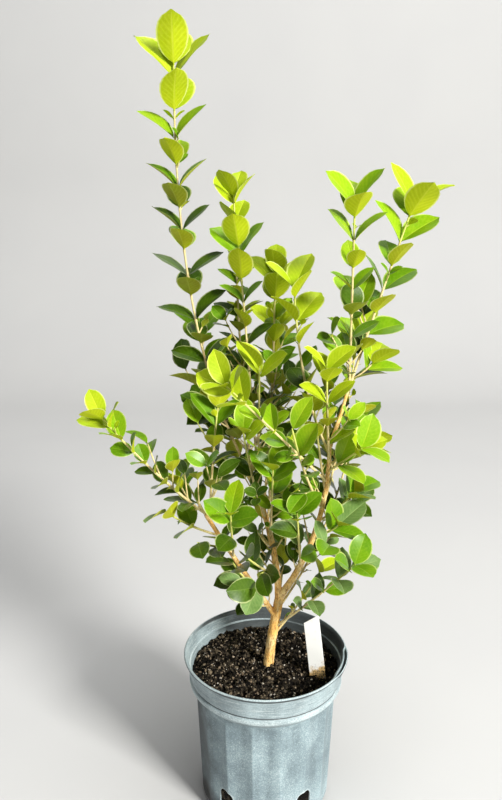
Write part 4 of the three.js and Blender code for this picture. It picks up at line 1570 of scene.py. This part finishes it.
@dataclass
class Wood:
    """The trunk and boughs with their bark's relief."""

    sides: int = 40
    spacing: float = 0.9
    flare_reach: float = 0.12  # share of the trunk over which its root flare fades
    lead_in: float = 9.0  # length of a bough's foot that is sunk in its parent
    lead_rings: int = 10
    lead_girth: float = 0.7  # thickness of that foot, of the bough's own
    easing: int = 11  # rings over which the path is smoothed where a bough leaves its parent
    collar: float = 0.25  # how much a bough swells where it leaves its parent
    collar_reach: float = 9.0
    end_round: float = 1.5
    bark_depth: float = 0.08  # depth of the relief, of the radius
    flake_stretch: float = 4.0  # how much longer than wide a flake is
    # For each size of flake its height and how fine it is.
    flakes: tuple[Span, ...] = ((0.65, 0.9), (0.45, 2.1))
    least_round: float = 3.0  # least radius that the flakes are spread over

    def curves(self) -> dict[str, Bend]:
        """The limbs' paths, each from its parent's.

        Returns:
            The paths by the limbs' names.
        """
        grown: dict[str, Bend] = {}
        for limb in LIMBS:
            start = grown[limb.parent].at(limb.at) if limb.parent else TRUNK_FOOT
            grown[limb.name] = Bend.between(start, np.array(limb.tip, float), limb.bend)
        return grown

    def eased(self, path: Array) -> Array:
        """A path smoothed by a moving average that weighs its middle most.

        Args:
            path: Points of the path.

        Returns:
            As many points, smoothed.
        """
        kernel = np.hanning(self.easing + 2)[1:-1]
        kernel = kernel / kernel.sum()
        ends = self.easing // 2
        padded = np.pad(path, ((ends, ends), (0, 0)), mode="edge")
        return np.stack([np.convolve(line, kernel, mode="valid") for line in padded.T], axis=1)

    def patch(self, limb: Limb, grown: dict[str, Bend]) -> Patch:
        """A limb: rings along its path, led in from its parent, with flakes drawn out along it.

        The radius is the taper plus root flare or collar, times one plus the relief, which is
        noise of two sizes stretched along the limb.

        Args:
            limb: The limb.
            grown: The paths of all limbs.

        Returns:
            The limb's bark.
        """
        curve = grown[limb.name]
        share = np.linspace(0.0, 1.0, int(curve.length / self.spacing))
        path = curve.at(share)
        along = share * curve.length
        radius = lerp(*limb.radius, share) + limb.flare * np.exp(-share / self.flare_reach)
        if limb.parent:
            parent = grown[limb.parent]
            back = np.linspace(self.lead_in, 0.0, self.lead_rings, endpoint=False)
            lead = parent.at(np.clip(limb.at - back / parent.length, 0.0, 1.0))
            path = self.eased(np.concatenate([lead, path]))
            along = np.concatenate([-back, along])
            foot = np.full(len(back), limb.radius[0] * self.lead_girth)
            collar = 1.0 + self.collar * np.exp(-np.maximum(along, 0.0) / self.collar_reach)
            radius = np.concatenate([foot, radius]) * collar
        end = np.clip((along[-1] - along) / self.end_round + 0.01, 0.0, 1.0)
        radius = limb.girth * radius * np.sqrt(end)
        spread = max(limb.radius[0], self.least_round)
        place = round_points(spread, full_turn(self.sides), along[:, None] / self.flake_stretch)
        seed = sum(map(ord, limb.name))
        relief = sum(height * grain(place * fine, seed + index)
                     for index, (height, fine) in enumerate(self.flakes))
        shape = 1.0 + self.bark_depth * np.clip(relief * 1.4, -1.0, 1.0)
        tube = swept(path, radius[:, None] * shape, self.sides)
        tube.relief = np.clip(relief * 1.3, -1.0, 1.0).ravel()
        return tube

    def build(self) -> None:
        """Makes the bark of all limbs as one piece."""
        grown = self.curves()
        bark = joined([self.patch(limb, grown) for limb in LIMBS])
        made = piece("bark", bark, BARK.material())
        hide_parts(*(limb.name for limb in LIMBS))


@dataclass
class Pot:
    """The moulded pot: bevelled foot, fluted wall, shoulder bead, flared rim, lip and drains."""

    height: float = 165.0  # height of the lip
    rim: float = 82.5  # outer radius of the lip
    flare: float = 80.8  # outer radius just under the lip
    groove: float = 76.0
    shoulder: float = 77.6
    neck: float = 71.2  # radius of the wall under the bead
    foot: float = 66.0  # radius of the wall's line carried down to the ground
    stand: float = 60.5  # radius of the flat underside
    bevel: float = 8.0
    lip_height: float = 162.3  # height at which the lip begins
    groove_height: float = 140.6
    shoulder_height: float = 136.4
    neck_height: float = 127.0  # height at which the wall ends
    ledge_height: float = 152.0
    flute_top: float = 119.0  # height at which the flutes begin to fade
    flute_foot: float = 14.0  # height at which they are full
    flutes: int = 16
    flute_depth: float = 2.6
    ridge_round: float = 0.004  # how much the ridges between flutes are rounded
    ridge_top: float = 0.063  # what brings their tops back out to the wall
    wall: float = 1.6
    floor: float = 3.0
    drains: int = 5
    drain_width: float = 17.0
    drain_bottom: float = 10.0
    drain_top: float = 40.0
    first_drain: float = -37.0  # turn of the first opening from the front, in degrees
    drain_wear: float = 1.3  # distance over which the wear round an opening fades
    shady_side: float = 1.05  # angle at which the lining is painted darkest, as painted shade; the side opposite is painted lighter, as painted light
    dent: float = 0.35  # how far the rim is out of round
    # Angles, in degrees, between which the lip's split opens and closes again.
    split_arc: tuple[float, float, float, float] = (-38.0, -28.0, -2.0, 4.0)
    split_gape: float = 2.2
    split_depth: float = 6.0
    WALL_COLUMNS = 480
    RIM_COLUMNS = 240
    SILL_ROWS, DRAIN_ROWS, UPPER_ROWS = 3, 12, 46
    REVEAL_STEPS = 24
    REVEAL_WEAR = 0.9
    SPLIT_ROW = 22
    MIDDLE = 0.05

    def wall_radius(self, height: Array | float) -> Array:
        """Radius of the plain outer wall at a height."""
        return self.foot + (self.neck - self.foot) * np.asarray(height, float) / self.neck_height

    def sink(self, angle: Array, height: Array) -> Array:
        """Depth to which the wall is pressed in: flutes between ridges, fading at both ends.

        Args:
            angle: Angles of the points.
            height: Their heights.

        Returns:
            The depth at each.
        """
        wave = np.abs(np.sin(np.pi * (angle / (2 * np.pi) * self.flutes + 0.5)))
        soft = np.sqrt(wave**2 + self.ridge_round) - self.ridge_top
        low = smooth(height, self.bevel, self.flute_foot)
        high = 1.0 - smooth(height, self.flute_top, self.neck_height)
        return self.flute_depth * soft * low * high

    def from_drain(self, angle: Array) -> Array:
        """Distance round the wall from the middle of the nearest drain opening.

        Args:
            angle: Angles of the points.

        Returns:
            The distance of each.
        """
        front = angle + np.pi / 2 - math.radians(self.first_drain)
        pitch = 2 * np.pi / self.drains
        return np.abs((front + pitch / 2) % pitch - pitch / 2) * self.foot

    def arch(self, angle: Array) -> tuple[Array, Array]:
        """How each column meets the nearest drain opening.

        Args:
            angle: Angles of the columns.

        Returns:
            Whether a column crosses an opening, and the height of the opening's crown there: a
            half circle over upright sides, kept level beyond them.
        """
        x, half = self.from_drain(angle), self.drain_width / 2
        rise = np.sqrt(np.maximum(0.0, half**2 - np.minimum(x, half) ** 2))
        return x < half, self.drain_top - half + rise

    def edge_wear(self, angle: Array, height: Array) -> Array:
        """How worn the wall is round the drain openings: 1 at their outline, fading fast.

        Args:
            angle: Angles of the points.
            height: Their heights.

        Returns:
            The wear at each.
        """
        x, half = self.from_drain(angle), self.drain_width / 2
        above = np.maximum(height - (self.drain_top - half), 0.0)
        over = above + np.minimum(height - self.drain_bottom, 0.0)
        gap = np.where(over == 0.0, x, np.hypot(x, over)) - half
        return bell(gap, self.drain_wear)

    def rows(self, angle: Array) -> tuple[Array, Array]:
        """Heights of the wall's rows at each column, bent to follow the drain openings.

        Args:
            angle: Angles of the columns.

        Returns:
            Heights, row by column, and for each gap between rows whether it lies in the
            openings' band.
        """
        _, crown = self.arch(angle)
        sill = self.drain_bottom
        below = np.linspace(self.bevel, sill, self.SILL_ROWS)[:-1, None] + 0 * crown
        band = lerp(sill, crown, np.linspace(0.0, 1.0, self.DRAIN_ROWS)[:, None])
        above = lerp(crown, self.neck_height, np.linspace(0.0, 1.0, self.UPPER_ROWS)[1:, None])
        heights = np.concatenate([below, band, above])
        inside = np.zeros(len(heights) - 1, bool)
        inside[len(below):len(below) + len(band) - 1] = True
        return heights, inside

    def wall_patch(self, inset: float) -> Patch:
        """The fluted wall between bevel and neck, open at the drains.

        Args:
            inset: Distance in from the outer face; nought draws the outer face.

        Returns:
            The wall's outer or inner face.
        """
        angle = full_turn(self.WALL_COLUMNS)
        heights, band = self.rows(angle)
        sink = self.sink(angle, heights)
        points = round_points(self.wall_radius(heights) - sink - inset, angle, heights)
        crossing, _ = self.arch(angle + np.pi / len(angle))
        quads = grid_quads(len(heights), len(angle), ring=True)
        quads = quads[~(band[:, None] & crossing).ravel()]
        if inset > 0:
            quads = quads[:, ::-1]
        ridge = 1.0 - sink / self.flute_depth
        relief = ridge * 0.5 - 0.25 + 1.3 * self.edge_wear(angle, heights)
        uv = np.broadcast_arrays(angle / (2 * np.pi), heights / self.height)
        return Patch(points, quads, np.stack(uv, axis=-1), relief)

    def reveal_patch(self, index: int) -> Patch:
        """The cut edge of a drain opening: its outline carried from outer face to inner.

        Args:
            index: Number of the opening.

        Returns:
            The edge, with its wear as relief.
        """
        half = self.drain_width / 2
        turn = np.linspace(0.0, np.pi, self.REVEAL_STEPS)
        sill, straight = self.drain_bottom, self.drain_top - half
        x = np.concatenate([[-half, half], half * np.cos(turn), [-half]])
        z = np.concatenate([[sill, sill], straight + half * np.sin(turn), [sill]])
        middle = math.radians(self.first_drain) - np.pi / 2 + 2 * np.pi * index / self.drains
        angle = middle + x / self.foot
        outer = self.wall_radius(z) - self.sink(angle, z)
        points = round_points(np.stack([outer, outer - self.wall]), angle, z)
        count = 2 * len(x)
        wear = np.full(count, self.REVEAL_WEAR)
        return Patch(points, grid_quads(2, len(x)), np.zeros((count, 2)), wear)

    def upper_profile(self) -> Array:
        """Radius, height and wear of the band over the wall, from the neck up and back inside.

        Each stretch is given by offsets from its own corner: neck, bead, groove, step, flare,
        lip's face, lip's top, then the lining from the flare by the ledge and groove to the neck.
        Low wear on the neck under the bead and on the flare and the lip's face paints painted
        shadow there.

        Returns:
            One row of three numbers for each point.
        """
        bead, groove, ledge = self.shoulder_height, self.groove_height, self.ledge_height
        start, wall = self.lip_height, self.wall
        slope = (self.flare - self.groove) / (start - groove)
        inside = self.groove + slope * (ledge - groove) - wall
        stretches = (
            (self.neck, self.neck_height, [(0.0, 0.0, -0.4), (0.5, 0.6, -0.5)]),
            (self.shoulder, bead, [(-1.1, -3.4, 0.2), (-0.2, -2.2, 1.0), (0.1, -0.6, 1.0),
                                   (0.0, 1.4, 0.9), (-0.5, 2.8, 0.5)]),
            (self.groove, groove, [(0.1, -0.7, -0.9), (0.0, 0.0, -1.0), (0.7, 0.6, -0.2),
                                   (1.0, 1.5, 0.3)]),
            (self.groove, groove, [(slope * 7.0 + 0.5, 7.0, 0.1), (slope * 7.6 + 0.2, 7.9, -0.5),
                                   (slope * 8.6 + 0.3, 8.8, 0.1)]),
            # painted shadow under the lip: the flare and the lip's face take low wear, which paints
            # them dark
            (self.flare, start, [(-0.6, -2.6, 0.1), (-0.5, -1.7, -0.9), (0.0, -0.25, -1.0)]),
            (self.rim, start, [(-0.5, 0.0, -1.0), (-0.05, 0.6, -1.1), (0.0, 1.2, -1.0)]),
            (self.rim, self.height, [(-0.2, -0.7, 0.9), (-0.7, -0.1, 1.0), (-0.85, -0.05, 0.8),
                                     (-1.0, -0.02, 0.4), (-1.1, 0.0, 0.0), (-1.9, -0.3, -1.0)]),
            (self.flare - wall, start, [(-0.1, 0.8, -1.0), (-0.3, -1.5, -0.2)]),
            (inside, ledge, [(0.35, 0.9, -0.3), (0.2, 0.2, 0.4), (-0.8, -0.4, 0.4),
                             (-0.95, -1.2, -0.5)]),
            (self.groove - wall, groove, [(0.1, 0.0, -0.2), (-0.4, -3.0, -0.4)]),
            (self.neck - wall, self.neck_height, [(0.6, 0.8, -0.6), (0.0, 0.0, -0.6)]),
        )
        return np.concatenate([np.array(offsets) + (radius, height, 0.0)
                               for radius, height, offsets in stretches])

    def split(self, angle: Array) -> Array:
        """How far the lip is split: 1 along an arc at the front right, closing at both ends.

        Args:
            angle: Angles of the points.

        Returns:
            The share at each.
        """
        turn = np.degrees((angle + np.pi) % (2 * np.pi) - np.pi)
        front, opened, closing, back = self.split_arc
        return smooth(turn, front, opened) * (1.0 - smooth(turn, closing, back))

    def upper_patch(self) -> Patch:
        """The band over the wall, turned about the middle.

        It has a slight oval dent, and its lining carries painted shade, darkest on the shady side,
        and painted light on the side opposite. At the split the two rows in the lip's middle sink,
        the rows inside them lean in and those outside lean out.

        Returns:
            The band, with its wear, painted shade and painted light as relief.
        """
        profile = self.upper_profile()
        angle = full_turn(self.RIM_COLUMNS)
        height = profile[:, 1:2]
        row = (np.arange(len(profile)) - self.SPLIT_ROW)[:, None]
        sunk = (row == 0) | (row == 1)
        split = self.split(angle)
        oval = self.dent * np.sin(2 * angle + 0.7) * smooth(height, self.groove_height, self.height)
        lean = np.select([row < 0, row == 0, row == 1], [0.3, 0.0, -0.7], -1.0)
        lean = lean * self.split_gape * smooth(height, self.ledge_height, self.lip_height)
        band = revolved(profile[:, :2], angle, oval + split * lean)
        band.points[:, 2] -= (sunk * self.split_depth * split).ravel()
        # painted shade and painted light on the lining: lower relief paints it darker towards the
        # shady side, higher relief paints it paler opposite
        shade = 1.4 * np.cos(angle - self.shady_side) - 0.25
        bared = np.select([sunk, row == 2, row == 3], [-2.0, 0.8, 0.9], 0.0)
        band.relief = (profile[:, 2:] - shade * (row > 2) + split * bared).ravel()
        return band

    def base_patch(self) -> Patch:
        """The underside, the bevel of the foot, and the inner floor, closed at the middle.

        Returns:
            The outer and inner faces.
        """
        outer = float(self.wall_radius(self.bevel))
        outside = [(self.MIDDLE, 0.0), (self.stand - 0.8, 0.0), (self.stand + 0.1, 0.5),
                   (outer - 0.5, self.bevel - 0.8), (outer, self.bevel)]
        inside = [(outer - self.wall, self.bevel), (self.stand, self.floor),
                  (self.MIDDLE, self.floor)]
        angle = full_turn(self.WALL_COLUMNS)
        return joined([revolved(np.array(profile), angle) for profile in (outside, inside)])

    def build(self) -> None:
        """Makes the pot as one piece."""
        patches = [self.wall_patch(0.0), self.wall_patch(self.wall)]
        patches += [self.upper_patch(), self.base_patch()]
        patches += [self.reveal_patch(index) for index in range(self.drains)]
        made = piece("nursery_pot", joined(patches), POT_PLASTIC.material())
        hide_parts("pot")


class Grit(Enum):
    """The kinds of loose bits on the soil."""

    CHIP = "bark_chips"
    HUSK = "tan_husks"
    PERLITE = "pale_grit"


@dataclass(frozen=True)
class Bits:
    """One kind of loose bit."""

    count: int
    sizes: Span
    thin: float  # least breadth, of the length
    finish: SoilFinish


LOOSE_BITS = {
    Grit.CHIP: Bits(2600, (1.1, 5.6), 0.42, CHIPS),
    Grit.HUSK: Bits(420, (1.0, 4.6), 0.42, HUSKS),
    Grit.PERLITE: Bits(260, (1.1, 3.4), 0.8, PERLITE),
}
BITS_SEED = 40


@dataclass
class Soil:
    """The potting mix: a crumbly top with loose bits, and a side that shows at the drains."""

    level: float = 145.0  # height of the top where the trunk stands
    radius: float = 75.4
    edge_drop: float = 2.5  # fall of the top at the wall
    edge: float = 14.0  # breadth of that fall
    lump: float = 1.5
    crumb: float = 5.0
    # For each size of crumb its share, its size and its seed.
    crumbs: tuple[tuple[float, float, int], ...] = ((0.55, 4.2, 5), (0.3, 1.9, 6), (0.15, 0.9, 7))
    # Distances from the trunk between which the lumps grow to their full height.
    trodden: Span = (9.0, 24.0)
    heap: float = 2.4  # height of the soil drawn up round the trunk's foot
    heap_ring: Span = (6.0, 3.4)  # radius and half breadth of that heap
    bit_lift: float = 0.12  # how far a bit's middle stands over the soil, of its size
    # Radius and height of points down the side to the floor's middle.
    side: tuple[Span, ...] = ((73.4, 138.0), (68.0, 127.0), (65.4, 60.0), (63.4, 14.0),
                              (57.3, 3.4), (0.05, 3.4))
    RINGS, COLUMNS = 130, 300
    MIDDLE = 0.05
    BIT_SIDES = 6
    BIT_LEVELS = np.array([(0.05, -1.0), (0.9, -0.55), (0.85, 0.55), (0.05, 1.0)])

    def top(self, x: Array, y: Array) -> Array:
        """Height of the soil: lumps, crumbs, a heap round the trunk and a fall at the wall.

        Args:
            x: Places to the right.
            y: Places to the back.

        Returns:
            The height at each.
        """
        away = np.hypot(x - TRUNK_FOOT[0], y - TRUNK_FOOT[1])
        place = np.stack([x, y, 0 * x], axis=-1)
        lumps = np.sin(0.13 * x + 1.2) * np.cos(0.11 * y) + 0.6 * np.sin(0.31 * x - 0.27 * y)
        crumbs = sum(part * grain(place / size, seed) for part, size, seed in self.crumbs)
        flat = smooth(away, *self.trodden)
        drop = self.edge_drop * smooth(np.hypot(x, y), self.radius - self.edge, self.radius)
        heap = self.heap * bell(away - self.heap_ring[0], self.heap_ring[1])
        rough = self.lump * lumps * flat + self.crumb * crumbs * (0.45 + 0.55 * flat)
        return self.level + rough + heap - drop

    def body_patch(self) -> Patch:
        """The top as rings lifted to the soil's height, with the side carried down from it.

        Returns:
            The soil's surface.
        """
        rings = self.radius * np.linspace(0.0, 1.0, self.RINGS) ** 0.8
        rings[0] = self.MIDDLE
        angle = full_turn(self.COLUMNS)
        top = round_points(rings[:, None], angle, 0.0)
        top[..., 2] = self.top(top[..., 0], top[..., 1])
        side = np.array(self.side)
        whole = np.concatenate([top, round_points(side[:, :1], angle, side[:, 1:])])
        quads = grid_quads(len(whole), len(angle), ring=True)
        return Patch(whole, quads, np.full((whole.size // 3, 2), 0.5))

    def bits_patch(self, bits: Bits, seed: int) -> Patch:
        """Loose bits, each turned its own way and sunk a little in the soil.

        A bit is a ring of six points at each of four heights, drawn in at both ends and pushed
        about by chance, then stretched along its three axes.

        Args:
            bits: The kind of bit.
            seed: Seed of their places and shapes.

        Returns:
            The bits, with a tone of its own in each bit's UV map.
        """
        random = np.random.default_rng(seed)
        count, thin = bits.count, bits.thin
        radius = (self.radius - 2.0) * np.sqrt(random.uniform(0.004, 1.0, count))
        centre = round_points(radius, random.uniform(0.0, 2 * np.pi, count), 0.0)
        size = lerp(*bits.sizes, random.uniform(0.0, 1.0, count) ** 2.2)
        wide, level = self.BIT_LEVELS[:, :1], self.BIT_LEVELS[:, 1:]
        ball = round_points(wide, full_turn(self.BIT_SIDES), level)
        shape = ball * (1.0 + random.uniform(-0.25, 0.25, (count, *ball.shape[:2], 1)))
        limits = ((0.6, 1.0), (thin, 0.9), (thin * 0.6, 0.7))
        stretch = np.stack([random.uniform(*limit, count) for limit in limits], axis=-1)
        shape = shape * (stretch * size[:, None] / 2)[:, None, None]
        length = unit(random.normal(size=(count, 3)) * np.array([1.0, 1.0, 0.45]))
        breadth = unit(np.cross(random.normal(size=(count, 3)), length))
        axes = np.stack([length, breadth, np.cross(length, breadth)], axis=1)
        centre[:, 2] = self.top(centre[:, 0], centre[:, 1]) + self.bit_lift * size
        points = np.einsum("nrsk,nkj->nrsj", shape, axes) + centre[:, None, None]
        corners = wide.size * self.BIT_SIDES
        quads = grid_quads(wide.size, self.BIT_SIDES, ring=True)
        quads = quads + np.arange(count)[:, None, None] * corners
        own = np.repeat(random.uniform(0.0, 1.0, (count, 2)), corners, axis=0)
        return Patch(points, quads, own)

    def build(self) -> None:
        """Makes the soil and the loose bits on it."""
        made = [piece("soil_body", self.body_patch(), SOIL.material())]
        for seed, (kind, bits) in enumerate(LOOSE_BITS.items(), BITS_SEED):
            patch = self.bits_patch(bits, seed)
            made.append(piece(kind.value, patch, bits.finish.material(), smooth_shaded=False))
        for each in made:
            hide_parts("soil")


@dataclass(frozen=True)
class Lamp:
    """A square soft light."""

    name: str
    place: Place
    size: float
    power: float
    colour: Colour


@dataclass
class Studio:
    """Pale floor, soft light and the camera at the photograph's place."""

    eye: Place = (-14.8, -662.0, 604.0)  # the camera's place
    tilt: float = 15.0  # how far the camera looks down, in degrees
    focal_pixels: float = 740.0  # focal length in pixels of the picture
    picture_height: float = 800.0
    sensor: float = 36.0
    clip: Span = (0.02, 50.0)  # nearest and farthest distance that it sees, in metres
    floor_reach: float = 4000.0
    floor_front: float = -3500.0
    floor_back: float = 1500.0  # distance behind the plant at which the floor turns up
    floor_bend: float = 700.0  # radius of that turn
    wall_height: float = 3000.0
    key: Place = (2300.0, -2500.0, 2120.0)  # place of the main light
    aim: Place = (0.0, 0.0, 380.0)  # where the lights look
    room_colour: Colour = (0.95, 0.97, 1.0)
    room_light: float = 0.10

    def camera(self) -> None:
        """Places the camera; its sensor spans the picture's height."""
        data = bpy.data.cameras.new("camera")
        data.sensor_fit = "VERTICAL"
        data.sensor_height = self.sensor
        data.lens = self.sensor * self.focal_pixels / self.picture_height
        data.clip_start, data.clip_end = self.clip
        made = bpy.data.objects.new("camera", data)
        made.location = [part * MM for part in self.eye]
        made.rotation_euler = (math.radians(90.0 - self.tilt), 0.0, 0.0)
        bpy.context.collection.objects.link(made)
        bpy.context.scene.camera = made

    def floor(self) -> None:
        """A sheet that runs back under the plant and turns up in a quarter circle to a wall."""
        back, bend = self.floor_back, self.floor_bend
        turn = np.linspace(0.0, np.pi / 2, 24)
        y = np.concatenate([[self.floor_front], back + bend * np.sin(turn), [back + bend]])
        z = np.concatenate([[0.0], bend * (1 - np.cos(turn)), [self.wall_height]]) - 0.05
        x = np.linspace(-self.floor_reach, self.floor_reach, 9)
        points = np.stack(np.broadcast_arrays(x, y[:, None], z[:, None]), axis=-1)
        patch = Patch(points, grid_quads(len(y), len(x)), np.zeros((x.size * y.size, 2)))
        made = piece("studio_floor", patch, FLOOR.material())

    def light(self, lamp: Lamp) -> None:
        """Hangs a lamp that looks at the middle of the crown.

        Args:
            lamp: The lamp.
        """
        data = bpy.data.lights.new(lamp.name, "AREA")
        data.energy, data.size, data.color = lamp.power, lamp.size * MM, lamp.colour
        made = bpy.data.objects.new(lamp.name, data)
        place = np.array(lamp.place)
        aim = unit(np.array(self.aim) - place)
        made.location = place * MM
        made.rotation_euler = (math.acos(-aim[2]), 0.0, math.atan2(-aim[0], aim[1]))
        bpy.context.collection.objects.link(made)

    def build(self) -> None:
        """Sets up camera, floor, lamps and the even light of the room."""
        self.camera()
        self.floor()
        for lamp in (
            Lamp("key_light", self.key, 960.0, 264.0, (1.0, 0.985, 0.95)),
            Lamp("fill_light", (-2600.0, -2600.0, 1620.0), 2400.0, 16.0, (0.97, 0.99, 1.0)),
            Lamp("top_light", (200.0, -200.0, 4020.0), 1800.0, 88.0, (1.0, 1.0, 1.0)),
        ):
            self.light(lamp)
        world = bpy.data.worlds.new("room")
        world.use_nodes = True
        background = world.node_tree.nodes["Background"]
        background.inputs["Color"].default_value = (*self.room_colour, 1.0)
        background.inputs["Strength"].default_value = self.room_light
        bpy.context.scene.world = world
        bpy.context.scene.view_settings.view_transform = "Standard"


@dataclass
class Label:
    """The blank tag: a thin plate with a slanting top, leaning back and to the left."""

    width: float = 16.0
    left_top: float = 56.5  # height of its left corner over the soil, along the plate
    right_top: float = 63.5
    buried: float = 22.0
    thickness: float = 0.9
    corner: float = 1.2
    bevel: float = 0.2
    bevel_share: float = 0.97  # how far out its faces reach inside the bevel
    foot: Place = (52.0, -19.0, 145.0)  # where its middle meets the soil
    # Leans and turn about the upright, in degrees.
    lean_back: float = 8.0
    lean_left: float = 9.0
    turn: float = -14.0
    MIDDLE = 0.01

    def outline(self) -> Array:
        """Points round the plate, with a quarter circle at each corner, from the lower right.

        Returns:
            Places across and up.
        """
        half, low = self.width / 2 - self.corner, -self.buried + self.corner
        right, left = self.right_top - self.corner, self.left_top - self.corner
        middles = np.array([(half, low), (half, right), (-half, left), (-half, low)])
        turn = np.linspace(0.0, np.pi / 2, 6)[None, :] + np.pi / 2 * np.arange(-1, 3)[:, None]
        around = self.corner * np.stack([np.cos(turn), np.sin(turn)], axis=-1)
        return (middles[:, None, :] + around).reshape(-1, 2)

    def placed(self, points: Array) -> Array:
        """Points of the plate leant back, leant to the left, turned and set in the soil.

        Args:
            points: Places on the upright plate.

        Returns:
            Their places in the pot.
        """
        for axis, angle in enumerate((-self.lean_back, -self.lean_left, self.turn)):
            points = turned(points, np.eye(3)[axis], math.radians(angle))
        return points + np.array(self.foot)

    def build(self) -> None:
        """Makes the plate: its outline drawn in to the middle on both faces, with a small bevel."""
        outline = self.outline()
        middle = outline.mean(axis=0)
        deep, face = self.thickness / 2, self.bevel_share
        rings = np.array([
            (self.MIDDLE, -deep), (face, -deep), (1.0, -deep + self.bevel),
            (1.0, deep - self.bevel), (face, deep), (self.MIDDLE, deep)])
        x, z = (middle + rings[:, :1, None] * (outline - middle)).transpose(2, 0, 1)
        plate = np.stack(np.broadcast_arrays(x, rings[:, 1:], z), axis=-1)
        quads = grid_quads(len(rings), len(outline), ring=True)[:, ::-1]
        points = self.placed(plate.reshape(-1, 3))
        patch = Patch(points, quads, np.zeros((len(points), 2)))
        made = piece("blank_label", patch, LABEL.material(), smooth_shaded=False)
        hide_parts("plant_label")


def main() -> None:
    """Builds the sub-assemblies in order and logs how many leaves and stems were grown."""
    logging.basicConfig(level=logging.INFO, format="%(name)s: %(message)s")
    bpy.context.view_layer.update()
    Studio().build()
    Pot().build()
    Soil().build()
    Label().build()
    wood = Wood()
    wood.build()
    crown = Crown(wood.curves())
    crown.grow()
    crown.build()
    LOG.info("leaves: %d, stems: %d", len(crown.leaves), len(crown.stems))


if __name__ == "__main__":
    main()
